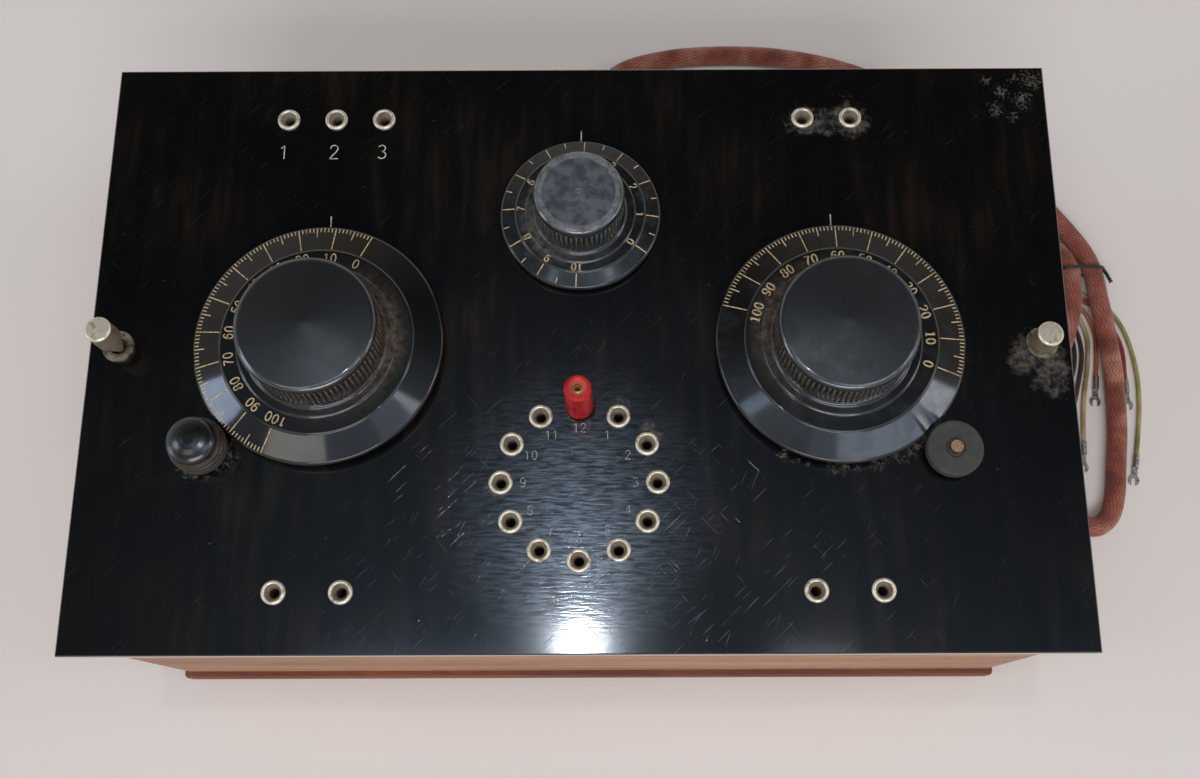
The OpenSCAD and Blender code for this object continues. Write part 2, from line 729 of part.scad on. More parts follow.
module panel_bushes() color("#c9b886") {
    at([[-dial_x, dial_y], [dial_x, dial_y]], 0) shaft_bush(plate_t);
    at([[0, small_y]], 0) shaft_bush(disc_t);
    at([station_drive, volume_drive], 0) spindle_bush();
    at([[-screw_x, screw_y], [screw_x, screw_y]], top_z)
        difference() {
            cylinder(r = screw_head_r + 1.3, h = washer_t);
            translate([0, 0, -eps]) cylinder(r = neck_r + gap, h = washer_t + 2 * eps);
        }
}

module rheostat_former() color("#3b2a20")
    translate([0, small_y, panel_z]) mirror([0, 0, 1])
        rotate_extrude()
            polygon([[bush_r, 0], [rheo_wall_out + 2, 0], [rheo_wall_out + 2, disc_t],
                [rheo_wall_out, disc_t], [rheo_wall_out, rheo_h], [rheo_wall_in, rheo_h],
                [rheo_wall_in, disc_t], [bush_r, disc_t]]);

module rheostat_winding() color("#8d8a84")
    translate([0, small_y, panel_z]) mirror([0, 0, 1])
        rotate_extrude()
            polygon([[rheo_wall_in - 1, disc_t + 1], [rheo_wall_in, disc_t + 1],
                [rheo_wall_in, rheo_h], [rheo_wall_out, rheo_h], [rheo_wall_out, disc_t + 1],
                [rheo_wall_out + 1, disc_t + 1], [rheo_wall_out + 1, rheo_h + 0.5],
                [rheo_wall_out, rheo_h + 1], [rheo_wall_in, rheo_h + 1],
                [rheo_wall_in - 1, rheo_h + 0.5]]);

// Stiff wires from the sockets to the condenser frames
module panel_wiring() color("#c0b9a6") {
    drop = top_z - socket_len;
    side = (socket_bore_r + socket_shank_r) / 2;
    for (w = [[aerial_at[1], 1, station_vanes], [earth_at[0], 1, volume_vanes],
            [phone_at[1], -1, station_vanes], [phone_at[2], -1, volume_vanes]]) {
        x = w[0][0] + side;
        under = panel_z - lower_plate_z(w[2]) - plate_t;
        plate_y = dial_y + w[1] * (frame_r - wire_inset);
        bus([[x, w[0][1], drop], [x, w[0][1], under - wire_drop], [x, plate_y, under - wire_drop],
            [x, plate_y, under]]);
    }
}

// Moulded dials

function dial_profile(r, rim, ring, ring_top, grip, top) = [
    [0, hub_z], [hub_r, hub_z], [hub_r, ring_top - shell], [ring - shell, ring_top - shell],
    [r - 2, rim - 2.6], [r - 0.6, rim - 2.6], [r, rim - 2], [r, rim - 0.6], [r - 0.6, rim],
    [ring, ring_top - 0.5], [ring - 0.4, ring_top], [grip + 4.6, ring_top],
    [grip + 4, ring_top + 0.9], [grip + 1.8, ring_top + 1.3], [grip + 0.6, ring_top + 2.2],
    [grip - 0.9, ring_top + 2.6], [grip - 0.9, top - cap_h], [grip + 0.3, top - cap_h],
    [grip + 0.3, top - 2.2], [grip - 0.2, top - 1.1], [grip - 1.2, top - 0.3],
    [grip - 2.4, top], [0, top + crown]];

function fluted(r, n) = [for (i = [0:n - 1], j = [0, 1])
    let (a = 360 * (i + j / 2) / n, q = r - j * flute_depth) [q * cos(a), q * sin(a)]];

module moulded_dial(profile, grip, flutes, foot, top)
    difference() {
        union() {
            rotate_extrude() polygon(profile);
            translate([0, 0, foot]) linear_extrude(top - cap_h - foot + eps)
                polygon(fluted(grip, flutes));
        }
        cylinder(r = shaft_r, h = top - cap_h);
    }

module large_dial()
    translate([0, 0, top_z])
        moulded_dial(dial_profile(dial_r, rim_z, ring_r, ring_z, grip_r, knob_z),
            grip_r, grip_flutes, ring_z + grip_foot, knob_z);

module station_dial() color("#171514") at([[-dial_x, dial_y]], 0) large_dial();

// The volume dial's rim is hollowed where its rubber wheel has stood for years
module volume_dial() color("#171514")
    difference() {
        at([[dial_x, dial_y]], 0) large_dial();
        at([volume_drive], top_z) cylinder(r = scallop_r, h = rim_z + 2);
    }

module filament_dial() color("#1b1a1a")
    translate([0, small_y, top_z])
        difference() {
            moulded_dial(dial_profile(small_r, small_rim_z, small_ring_r, small_ring_z,
                small_grip_r, small_z), small_grip_r, small_flutes,
                small_ring_z + grip_foot, small_z);
            translate([0, 0, small_z + crown - 1]) cylinder(r = 0.9, h = 2);
        }

module rheostat_wiper() color("#c8a860")
    translate([0, small_y, 0]) {
        arm_top = panel_z - rheo_h - 1 - gap;
        translate([0, 0, arm_top - 4])
            cylinder(r = shaft_r, h = top_z + small_z - cap_h - arm_top + 4);
        translate([0, 0, arm_top - 3]) cylinder(r = vane_hub_r, h = 3);
        translate([0, -2.5, arm_top - wiper_t]) cube([rheo_wall_out + 2, 5, wiper_t]);
    }

// Friction drives: a rubber wheel on a spindle runs on the dial's rim

module spindle(top) {
    low = panel_z - nut_t - gap;
    translate([0, 0, low - collar_t - 2]) cylinder(r = spindle_r, h = top_z + top - low + collar_t + 2);
    translate([0, 0, low - collar_t]) cylinder(r = shoulder_r + 0.8, h = collar_t);
    translate([0, 0, top_z + spindle_flange + gap])
        cylinder(r = shoulder_r, h = wheel_z - spindle_flange - gap);
}

module rubber_wheel()
    translate([0, 0, top_z + wheel_z])
        difference() {
            rotate_extrude()
                polygon([[0, 0], [wheel_r - 0.6, 0], [wheel_r, 0.6], [wheel_r, wheel_t - 0.6],
                    [wheel_r - 0.6, wheel_t], [0, wheel_t]]);
            translate([0, 0, -eps]) cylinder(r = spindle_r, h = wheel_t + 2 * eps);
        }

module drive_knob() color("#16110f")
    translate([station_drive[0], station_drive[1], top_z])
        difference() {
            low = wheel_z + wheel_t;
            rotate_extrude()
                polygon(concat([[0, low], [drive_knob_r + 1.4, low], [drive_knob_r + 1.4, low + 1.4],
                    [drive_knob_r + 0.8, low + 1.8], [drive_knob_r + 0.8, low + 3],
                    [drive_knob_r - 0.4, low + 3.4], [drive_knob_r - 0.4, drive_knob_z - 4.6],
                    [drive_knob_r, drive_knob_z - 4.2], [drive_knob_r, drive_knob_z - 2.8]],
                    [for (a = [15:15:90]) [(drive_knob_r - 1) * cos(a) + (1 - sin(a)) * 0.9,
                        drive_knob_z - 2.5 + 2.5 * sin(a)]]));
            translate([0, 0, low - eps]) cylinder(r = spindle_r, h = drive_knob_z - low - 4);
        }

module station_spindle() color("#b5744a")
    at([station_drive], 0) spindle(drive_knob_z - 4);
module volume_spindle() color("#b5744a")
    at([volume_drive], 0) spindle(spindle_top);
module station_wheel() color("#3c3d3a") at([station_drive], 0) rubber_wheel();
module volume_wheel() color("#4a4b46") at([volume_drive], 0) rubber_wheel();

// Thumbscrew: tall head, plain neck and threaded shank
module thumbscrew(out)
    translate([0, 0, top_z + washer_t + out]) {
        rotate_extrude()
            polygon([[0, 0], [screw_head_r - 0.5, 0], [screw_head_r, 0.5],
                [screw_head_r, screw_head_h - 0.7], [screw_head_r - 0.7, screw_head_h],
                [0, screw_head_h]]);
        translate([0, 0, -washer_t - panel_t]) cylinder(r = neck_r, h = washer_t + panel_t);
        translate([0, 0, -washer_t - panel_t - shank_len]) cylinder(r = screw_shank_r, h = shank_len);
    }

module left_thumbscrew() color("#bdb5a5") at([[-screw_x, screw_y]], 0) thumbscrew(screw_out);
module right_thumbscrew() color("#bdb5a5") at([[screw_x, screw_y]], 0) thumbscrew(0);

// Red plug in the first socket of the ring
stem_r = 1.9;
dish = 1.6;
module plug_handle() color("#c01f24")
    translate([tap_at[0][0], tap_at[0][1], top_z + flange_h])
        rotate_extrude()
            polygon([[stem_r, 0], [plug_r - 0.3, 0], [plug_r, 0.4], [plug_r - 0.35, plug_h - 0.8],
                [plug_r - 1, plug_h], [plug_r - 2, plug_h], [plug_r - 2.6, plug_h - dish],
                [stem_r, plug_h - dish]]);

module plug_pin() color("#c9a34a")
    translate([tap_at[0][0], tap_at[0][1], top_z + flange_h])
        difference() {
            union() {
                cylinder(r = stem_r, h = plug_h - dish);
                translate([0, 0, -pin_len]) cylinder(r = socket_bore_r - fit, h = pin_len);
            }
            translate([0, 0, plug_h - dish - 6]) cylinder(r = 1.1, h = 7);
        }

// Plug-in tubes with four pins

module tube_base()
    translate([0, 0, plank_t + holder_h]) {
        rotate_extrude()
            polygon([[0, 0], [tube_base_r - 0.6, 0], [tube_base_r, 0.6],
                [tube_base_r, tube_base_h - 2], [tube_base_r - 1, tube_base_h],
                [0, tube_base_h]]);
        at(pin_at, -tube_pin_len) cylinder(r = tube_pin_r, h = tube_pin_len);
    }

// Pear-shaped bulb, closed by a round dome with the pip of the pumping stem
module tube_bulb()
    translate([0, 0, plank_t + holder_h + tube_base_h]) {
        rise = tube_h - tube_base_h - bulb_r;
        rotate_extrude()
            polygon(concat([[0, 0], [tube_base_r - 1.4, 0]],
                [for (t = [0.15:0.17:0.84]) [tube_base_r - 1.4 + (bulb_r - tube_base_r + 1.4)
                    * (1 - cos(180 * t)) / 2, rise * t]],
                [for (a = [0:15:75]) [bulb_r * cos(a), rise + (bulb_r - 2) * sin(a)]],
                [[1.6, rise + bulb_r - 2.1], [0, rise + bulb_r]]));
    }

module detector_base() color("#2a2422") at([detector_at], 0) tube_base();
module driver_base() color("#2a2422") at([driver_at], 0) tube_base();
module output_base() color("#2a2422") at([output_at], 0) tube_base();
module detector_bulb() color("#9aa0a2") at([detector_at], 0) tube_bulb();
module driver_bulb() color("#9aa0a2") at([driver_at], 0) tube_bulb();
module output_bulb() color("#9aa0a2") at([output_at], 0) tube_bulb();

base_plank();
front_wall();
rear_wall();
side_walls();
insert_nuts();
cable_bush();
terminal_strip();
detector_holder();
driver_holder();
output_holder();
transformer_core();
transformer_winding();
grid_leak();
baseboard_wiring();
battery_cable();
lead_yellow();
lead_red();
lead_brown();
lead_cream();
lead_orange();
lead_black();
lead_lugs();
cable_tie();
ebonite_panel();
aerial_sockets();
earth_sockets();
phone_sockets();
tap_sockets();
socket_nuts();
coil_former();
coil_winding();
station_frame();
station_stator();
volume_frame();
volume_stator();
panel_bushes();
rheostat_former();
rheostat_winding();
panel_wiring();
station_dial();
station_rotor();
volume_dial();
volume_rotor();
filament_dial();
rheostat_wiper();
drive_knob();
station_spindle();
station_wheel();
volume_wheel();
volume_spindle();
left_thumbscrew();
right_thumbscrew();
plug_handle();
plug_pin();
detector_base();
detector_bulb();
driver_base();
driver_bulb();
output_base();
output_bulb();
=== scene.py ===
import math
from collections import namedtuple

import bmesh
import bpy
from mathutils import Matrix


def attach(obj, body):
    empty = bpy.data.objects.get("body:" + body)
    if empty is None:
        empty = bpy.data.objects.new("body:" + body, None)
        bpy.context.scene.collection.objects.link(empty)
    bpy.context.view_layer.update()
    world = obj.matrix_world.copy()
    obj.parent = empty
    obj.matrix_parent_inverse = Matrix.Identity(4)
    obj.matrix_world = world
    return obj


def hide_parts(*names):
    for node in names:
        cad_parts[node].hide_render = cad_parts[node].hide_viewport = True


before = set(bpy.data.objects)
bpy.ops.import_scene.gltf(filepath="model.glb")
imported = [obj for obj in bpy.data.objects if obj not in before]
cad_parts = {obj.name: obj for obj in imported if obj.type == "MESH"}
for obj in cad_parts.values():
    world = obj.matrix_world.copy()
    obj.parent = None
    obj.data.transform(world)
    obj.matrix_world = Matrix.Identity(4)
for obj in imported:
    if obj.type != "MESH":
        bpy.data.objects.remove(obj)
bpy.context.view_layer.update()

# Camera
# The photograph was taken from over the front edge of the panel, looking down and a little back.
# The lens and the shift give the photograph's framing of that view.
photo_camera = bpy.data.cameras.new("photo_camera")
photo_camera.sensor_width = 36
photo_camera.lens = 39.295
photo_camera.shift_x = -0.01992
photo_camera.shift_y = -0.00115
camera = bpy.data.objects.new("photo_camera", photo_camera)
camera.location = (0.01825, -0.16625, 0.658)
camera.rotation_euler = [math.radians(turn) for turn in (16.159, 0.110, -0.211)]
bpy.context.scene.collection.objects.link(camera)
bpy.context.scene.camera = camera
bpy.context.scene.view_settings.view_transform = "Standard"

# Battery cable
# A round red-brown cotton braid over the six insulated leads of the batteries. It leaves the box
# through the bush in the rear wall, lies round the right side and folds back in a hairpin.
# Sizes here and below are in millimetres.
MM = 0.001
cable_r = 5
cable_route = [
    (0, 108, 24), (0, 140, 24), (0, 160, 15), (1, 181, 5.5), (14, 204, 5), (40, 213.5, 5),
    (72, 216.4, 5), (106, 214.5, 5), (140, 206.5, 5), (172, 191.5, 5), (202, 168.5, 5),
    (228, 142, 5.2), (245, 122, 6.2), (256, 106, 7.6), (262.5, 95, 8), (266.2, 84, 8),
    (268, 68, 8), (270, 50, 7.6), (272, 28, 5.8), (271.3, 2, 5), (268.5, -20, 5), (266, -36, 5),
    (262, -46, 5), (254.5, -51, 5), (245.5, -48, 5), (238.5, -37, 5), (233.5, -20, 5),
    (231.5, -2, 5), (234.5, 16, 5), (240.5, 31, 5.2), (248, 48, 7.4), (253.4, 66, 8),
    (254.5, 84, 8), (249.8, 96, 7), (241.5, 105.5, 5.2),
]
cable_step = 0.9           # from one ring of points of the mesh to the next
braid_carriers = 16        # strands of each direction round the cable
braid_pitch = 34           # length of one turn of a strand
braid_relief = 0.35        # height of a strand over its neighbours
above_table = 0.08         # air under the cable where it lies


def linear(hex_colour):
    """An sRGB hex colour as the linear colour that a socket takes."""
    values = [int(hex_colour[i:i + 2], 16) / 255 for i in (1, 3, 5)]
    return [v / 12.92 if v <= 0.04045 else ((v + 0.055) / 1.055) ** 2.4 for v in values] + [1]


def add(tree, kind, inputs, stops=(), out=0, **settings):
    """Adds a node; each input is a value or a socket to link from, and stops fill a ramp."""
    made = tree.nodes.new(kind)
    for name, value in settings.items():
        setattr(made, name, value)
    for name, value in inputs.items():
        if isinstance(value, bpy.types.NodeSocket):
            tree.links.new(value, made.inputs[name])
        else:
            made.inputs[name].default_value = value
    for place, hex_colour in stops[2:]:
        made.color_ramp.elements.new(place)
    for element, (place, hex_colour) in zip(made.color_ramp.elements if stops else (), stops):
        element.position = place
        element.color = linear(hex_colour)
    return made.outputs[out]


def marks(size_mm):
    """Scale of a pattern whose marks are this many millimetres apart."""
    return 1 / (size_mm * MM)


def finish(name, look, **constants):
    """A material; constants go on the shader's own sockets, and look gives what varies."""
    material = bpy.data.materials.new(name)
    material.use_nodes = True
    tree = material.node_tree
    shader = tree.nodes["Principled BSDF"]
    for socket, value in constants.items():
        shader.inputs[socket.replace("_", " ")].default_value = value
    place = add(tree, "ShaderNodeTexCoord", {}, out="Object")
    for socket, source in look(tree, place).items():
        tree.links.new(source, shader.inputs[socket])
    return material


def smooth_route(route, steps=8, floor=-math.inf):
    """A smooth curve through given points, which never goes below floor."""
    ends = [route[0], *route, route[-1]]
    path = []
    for a, b, c, d in zip(ends, ends[1:], ends[2:], ends[3:]):
        for k in range(steps):
            t = k / steps
            path.append([0.5 * (2 * q + (r - p) * t + (2 * p - 5 * q + 4 * r - s) * t * t
                                + (3 * q - p - 3 * r + s) * t ** 3)
                         for p, q, r, s in zip(a, b, c, d)])
    path.append(list(route[-1]))
    return [[*p[:2], max(p[2], floor)] if len(p) == 3 else p for p in path]


def route_length(path):
    """How long a path is, in its own units."""
    return sum(math.dist(a, b) for a, b in zip(path, path[1:]))


def even_steps(path, step):
    """The same path with its points about step apart."""
    total = route_length(path)
    count = max(2, round(total / step))
    spaced, walked, index = [], 0.0, 0
    for k in range(count + 1):
        goal = total * k / count
        while index < len(path) - 2 and walked + math.dist(path[index], path[index + 1]) < goal:
            walked += math.dist(path[index], path[index + 1])
            index += 1
        a, b = path[index], path[index + 1]
        share = (goal - walked) / max(math.dist(a, b), 1e-9)
        spaced.append([p + (q - p) * share for p, q in zip(a, b)])
    return spaced


def piece(name, shape, material, body, crease=35, stands_for=()):
    """A mesh from (points, faces) in millimetres that rides on a body."""
    mesh = bpy.data.meshes.new(name)
    mesh.from_pydata([[v * MM for v in p] for p in shape[0]], [], shape[1])
    work = bmesh.new()
    work.from_mesh(mesh)
    bmesh.ops.recalc_face_normals(work, faces=work.faces)
    work.to_mesh(mesh)
    work.free()
    mesh.shade_smooth()
    mesh.set_sharp_from_angle(angle=math.radians(crease))
    mesh.materials.append(material)
    made = bpy.data.objects.new(name, mesh)
    bpy.context.scene.collection.objects.link(made)
    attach(made, body)
    if stands_for:
        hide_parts(*stands_for)
    return made


def swept(path, radius, sides):
    """A closed tube along a path; radius is a function of the share of a turn and the length."""
    points, faces, walked, side = [], [], 0.0, None
    for i, here in enumerate(path):
        before, after = path[max(i - 1, 0)], path[min(i + 1, len(path) - 1)]
        way = [b - a for a, b in zip(before, after)]
        way = [v / math.hypot(*way) for v in way]
        side = side or (way[1], -way[0], 0)
        across = sum(s * w for s, w in zip(side, way))
        side = [s - across * w for s, w in zip(side, way)]
        side = [v / math.hypot(*side) for v in side]
        up = [side[(k + 1) % 3] * way[(k + 2) % 3] - side[(k + 2) % 3] * way[(k + 1) % 3]
              for k in range(3)]
        walked += math.dist(before, here)
        for k in range(sides):
            r, turn = radius(k / sides, walked), 2 * math.pi * k / sides
            points.append([p + r * (math.cos(turn) * s + math.sin(turn) * u)
                           for p, s, u in zip(here, side, up)])
            if i:
                a, b = (i - 1) * sides + k, (i - 1) * sides + (k + 1) % sides
                faces.append((a, b, b + sides, a + sides))
    faces.append(tuple(range(sides - 1, -1, -1)))
    faces.append(tuple(range(len(points) - sides, len(points))))
    return points, faces


def braided(r, carriers, pitch, relief):
    """Radius of a braid: strands of two directions pass over and under each other."""
    def radius(turn, length):
        one = carriers * (turn + length / pitch)
        other = carriers * (turn - length / pitch)
        over = one if (math.floor(one) + math.floor(other)) % 2 else other
        return r - relief + relief * math.sin(math.pi * (over % 1))
    return radius


def cotton(tone, shade, worn, strand_gap_shade, yarn_mm):
    """Cotton yarn: dull and paler where it was handled, with painted shade between the strands."""
    def look(tree, place):
        wear = add(tree, "ShaderNodeTexNoise", {"Vector": place, "Scale": marks(16.7),
                                                "Detail": 5})
        yarn = add(tree, "ShaderNodeTexNoise", {"Vector": place, "Scale": marks(yarn_mm),
                                                "Detail": 4, "Roughness": 0.7})
        relief = add(tree, "ShaderNodeAttribute", {}, out="Fac", attribute_name="relief")
        tint = add(tree, "ShaderNodeValToRGB", {"Fac": wear},
                   stops=((0.36, shade), (0.5, tone), (0.66, worn)))
        dark = add(tree, "ShaderNodeValToRGB", {"Fac": yarn},
                   stops=((0.3, "#9a9088"), (0.62, "#ffffff")))
        mixed = add(tree, "ShaderNodeMix", {6: tint, 7: dark, "Factor": 0.8}, out=2,
                    data_type="RGBA", blend_type="MULTIPLY")
        raised = add(tree, "ShaderNodeMapRange", {"Value": relief, "From Min": 0.0,
                                                  "From Max": 0.8})
        # Painted shade: the low places between the strands take the dark gap colour.
        shown = add(tree, "ShaderNodeMix", {"Factor": raised, 6: linear(strand_gap_shade), 7: mixed}, out=2,
                    data_type="RGBA")
        bump = add(tree, "ShaderNodeBump", {"Height": yarn, "Strength": 0.6,
                                            "Distance": 0.3 * MM})
        return {"Base Color": shown, "Normal": bump}
    return look


def cord(name, path, r, carriers, pitch, relief, sides, material, node):
    """A braided cord along a path; how far each point stands out is kept for the material."""
    radius = braided(r, carriers, pitch, relief)
    made = piece(name, swept(path, radius, sides), material, "cabinet", 180, [node])
    walked = [0.0]
    for a, b in zip(path, path[1:]):
        walked.append(walked[-1] + math.dist(a, b))
    high = [(radius(k / sides, length) - r + relief) / relief
            for length in walked for k in range(sides)]
    made.data.attributes.new("relief", "FLOAT", "POINT").data.foreach_set("value", high)
    return made


# The braid is cotton, so it has no gloss and a little sheen from its fluff. Its yarn is drawn as
# coarse as it needs to show, and its darkest colour is painted shade between the strands.
red_brown_braid = finish("red_brown_braided_cotton",
                         cotton("#a85c48", "#804236", "#c48a74", "#46231a", 0.5),
                         Roughness=0.95, Sheen_Weight=0.2, Sheen_Roughness=0.5)
cable_path = even_steps(smooth_route(cable_route, floor=cable_r + above_table), cable_step)
cable = cord("battery_cable_braid", cable_path, cable_r, braid_carriers, braid_pitch,
             braid_relief, 64, red_brown_braid, "battery_cable")

# Binding at the end of the cable
# Waxed black thread is wound round the end of the braid, where the six leads come out of it, so
# that the braid doesn't fray.
binding_steps = 11         # steps of the cable's path that it covers
binding_thread = 0.9
binding_core_r = cable_r - 0.3
binding_rib = 0.4          # how far the thread bulges from its core


def ribbed(r, rib, thread):
    """Radius of a winding of thread round a core of radius r."""
    return lambda turn, length: r + rib * abs(math.sin(math.pi * (length / thread + turn)))


def waxed_thread(tree, place):
    """Black thread: dusty brown black with a fine fibre."""
    fibre = add(tree, "ShaderNodeTexNoise", {"Vector": place, "Scale": marks(0.4), "Detail": 3})
    tint = add(tree, "ShaderNodeValToRGB", {"Fac": fibre},
               stops=((0.35, "#1b1614"), (0.7, "#3d332d")))
    bump = add(tree, "ShaderNodeBump", {"Height": fibre, "Strength": 0.4, "Distance": 0.1 * MM})
    return {"Base Color": tint, "Normal": bump}


# The wax gives the thread a faint shine along each turn.
black_thread = finish("black_waxed_thread", waxed_thread, Roughness=0.7)
binding_path = even_steps(cable_path[-binding_steps - 1:], binding_thread / 8)
binding = piece("cable_binding",
                swept(binding_path, ribbed(binding_core_r, binding_rib, binding_thread), 32),
                black_thread, "cabinet", 180)

# Leads of the cable
# Six stranded copper leads in thin cotton braid, each in its own colour. They fold back under the
# cable side by side, fan out on the table and end in spade lugs.
lead_r = 1.2
lead_step = 0.5            # from one ring of points of the mesh to the next
lead_carriers = 8
lead_pitch = 9
lead_relief = 0.12
lead_above_table = 0.02
# Each lead's tone, darker and paler tones, and the painted shade between its strands.
lead_colours = {
    "yellow": ("#b3a862", "#8d8348", "#d2c88a", "#4c4424"),
    "red": ("#a2382f", "#76241e", "#c05a4c", "#3c120e"),
    "orange": ("#c0652f", "#93481f", "#d98a55", "#4e250f"),
    "cream": ("#c8b07e", "#a08a5c", "#ddcba2", "#5d4b2c"),
    "brown": ("#5a3628", "#3c2219", "#7c5443", "#1d0f0a"),
    "black": ("#322b28", "#1f1a18", "#544a44", "#0c0a09"),
}
fold_centre = (229.5, 94.8)
fold_turns = (72, 128, 188, 248)
fold_radii = (8.6, 11.6, 14.6, 17.6, 20.6, 23.6)
start_out = (-3.9, -2.3, -0.75, 0.75, 2.25, 3.75)
start_up = (-1.3, 1.3, -1.3, 1.3, -1.3, 1.3)
start_drop = (0, 2.8, 0, 2.8, 0, 2.8)
fans = (
    ((250, 78.4), (269, 71), (280.3, 57.5), (285.5, 37), (285.5, 14), (281, -13)),
    ((250, 75.5), (268, 67.3), (275.3, 56.2), (279.6, 44), (279.6, 27)),
    ((250, 72.5), (261, 66), (266, 54), (266, 42), (264.5, 29)),
    ((249, 69.5), (257.5, 63.5), (262, 50), (260.5, 34), (256.5, 14), (254.5, -6)),
    ((247, 67), (254.5, 60), (258.2, 47), (257, 33), (248.5, 3)),
    ((244, 65.2), (251.5, 57.5), (254.6, 45), (253, 32), (245.8, 15)),
)


def round_about(centre, r, degrees):
    """The point at an angle on a circle round a centre."""
    turn = math.radians(degrees)
    return centre[0] + r * math.cos(turn), centre[1] + r * math.sin(turn)


def lead_route(i):
    """Points of one lead, from the cable's end round the fold and out along its fan."""
    end, before = cable_route[-1], cable_route[-2]
    way = [(a - b) / math.dist(end, before) for a, b in zip(end, before)]
    flat = math.hypot(way[0], way[1])
    side = (way[1] / flat, -way[0] / flat, 0)
    up = (side[1] * way[2], -side[0] * way[2], side[0] * way[1] - side[1] * way[0])
    start = [e + start_out[i] * s + start_up[i] * u for e, s, u in zip(end, side, up)]
    route = [start, [s + 2 * w for s, w in zip(start, way)]]
    for k, degrees in enumerate(fold_turns):
        route.append([*round_about(fold_centre, fold_radii[i], degrees),
                      lead_r + (0 if k else start_drop[i])])
    return route + [[x, y, lead_r] for x, y in fans[i]]


# Each lead has the cable's dull cotton in a finer braid.
leads = {}
for i, (shade_name, colours) in enumerate(lead_colours.items()):
    braid = finish(f"{shade_name}_braided_cotton", cotton(*colours, 0.3), Roughness=0.9,
                   Sheen_Weight=0.15)
    path = even_steps(smooth_route(lead_route(i), floor=lead_r + lead_above_table), lead_step)
    made = cord(f"lead_{shade_name}_braid", path, lead_r, lead_carriers, lead_pitch, lead_relief,
                24, braid, f"lead_{shade_name}")
    leads[shade_name] = (made, path)


# Spade lugs
# Stamped and tinned copper, crimped over the end of each lead, and dull grey with age.
def dull_tin(tree, place):
    """Old tin: grey, blotched darker, with brown where the copper shows."""
    age = add(tree, "ShaderNodeTexNoise", {"Vector": place, "Scale": marks(1.43), "Detail": 5})
    tint = add(tree, "ShaderNodeValToRGB", {"Fac": age},
               stops=((0.32, "#6d5b48"), (0.45, "#8a867e"), (0.7, "#b3afa5")))
    rough = add(tree, "ShaderNodeMapRange", {"Value": age, "To Min": 0.55, "To Max": 0.3})
    return {"Base Color": tint, "Roughness": rough}


def dress(material, *nodes):
    """Gives CAD nodes a finish."""
    for name in nodes:
        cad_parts[name].data.materials.clear()
        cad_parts[name].data.materials.append(material)


# Dip tinning leaves a soft metal shine that goes dull in patches.
tinned_copper = finish("tinned_copper_stamped", dull_tin, Metallic=1.0)
dress(tinned_copper, "lead_lugs")

# Cable tie
# Black enamelled wire, wound twice round the two strands of the cable. Its ends are twisted
# together into a tail that points down to the right.
tie_centre = (259.7, 85.5, 8)
tie_half = 6.2             # from the tie's middle to the middle of each strand
tie_wire_r = 0.55
tie_loop_r = cable_r + 0.5 + tie_wire_r
tie_turns = 2
tie_start = -10            # degrees from the right, where the first turn starts
tie_width = 1.2            # what both turns take up along the cable
tie_steps = 96
tail_offset = (0.4, 0, 0.5)     # of the tail's start from the right end of the loops
tail_reach = (4.5, -5, -4)
tail_turns = 2
tail_spread = 0.5          # from the tail's middle to the middle of each wire
tail_steps = 48


def tie_path():
    """The turns of the wire round both strands."""
    path = []
    for k in range(tie_steps + 1):
        turn = math.radians(360 * tie_turns * k / tie_steps + tie_start)
        path.append((tie_centre[0] + math.copysign(tie_half, math.cos(turn))
                     + tie_loop_r * math.cos(turn),
                     tie_centre[1] + tie_width * (0.5 - k / tie_steps),
                     tie_centre[2] + tie_loop_r * math.sin(turn)))
    return path


def twisted_tail(start):
    """The paths of two wires twisted round each other."""
    flat = math.hypot(tail_reach[0], tail_reach[1])
    side = (tail_reach[1] / flat, -tail_reach[0] / flat, 0)
    up = (0, 0, 1)
    strands = []
    for phase in (0, math.pi):
        strand = []
        for k in range(tail_steps + 1):
            share = k / tail_steps
            turn = phase + 2 * math.pi * tail_turns * share
            strand.append([a + w * share + tail_spread * (math.cos(turn) * s + math.sin(turn) * u)
                           for a, w, s, u in zip(start, tail_reach, side, up)])
        strands.append(strand)
    return strands


def joined(*shapes):
    """Several (points, faces) as one."""
    points, faces = [], []
    for more_points, more_faces in shapes:
        faces += [[len(points) + v for v in face] for face in more_faces]
        points += more_points
    return points, faces


def enamel(tree, place):
    """Enamelled wire: black and satin, with brown copper at its rubbed spots."""
    rub = add(tree, "ShaderNodeTexNoise", {"Vector": place, "Scale": marks(1.11), "Detail": 2})
    return {"Base Color": add(tree, "ShaderNodeValToRGB", {"Fac": rub},
                              stops=((0.62, "#17171a"), (0.72, "#4a3020")))}


def beside(centre, *offset):
    """The point that lies this far from a centre."""
    return tuple(c + v for c, v in zip(centre, offset))


# Baked enamel gives the wire a thin line of light along its top.
black_wire = finish("black_enamelled_wire", enamel, Roughness=0.35)
tail_start = beside(beside(tie_centre, tie_half + tie_loop_r, 0, 0), *tail_offset)
tie = piece("cable_tie_wire",
            joined(*[swept(path, lambda turn, length: tie_wire_r, 10)
                     for path in [tie_path(), *twisted_tail(tail_start)]]),
            black_wire, "cabinet", 60, ["cable_tie"])


def metres(values):
    return [v * MM for v in values]


route_length(cable_path) * MM
for made, path in leads.values():
    route_length(path) * MM

# Table and light
# A plain pale table top under a plain studio light. The room is bright round the set and dark
# overhead, which keeps the polished panel black. Soft boxes light the set from the front, and
# small cards overhead show as soft shapes in the dials' bevels and as the glow on the panel.
floor_half = 15000
floor_mesh = bpy.data.meshes.new("table_top")
floor_mesh.from_pydata([metres((x * floor_half, y * floor_half, 0))
                        for x, y in ((-1, -1), (1, -1), (1, 1), (-1, 1))], [], [(0, 1, 2, 3)])
table_top = bpy.data.objects.new("table_top", floor_mesh)
bpy.context.scene.collection.objects.link(table_top)


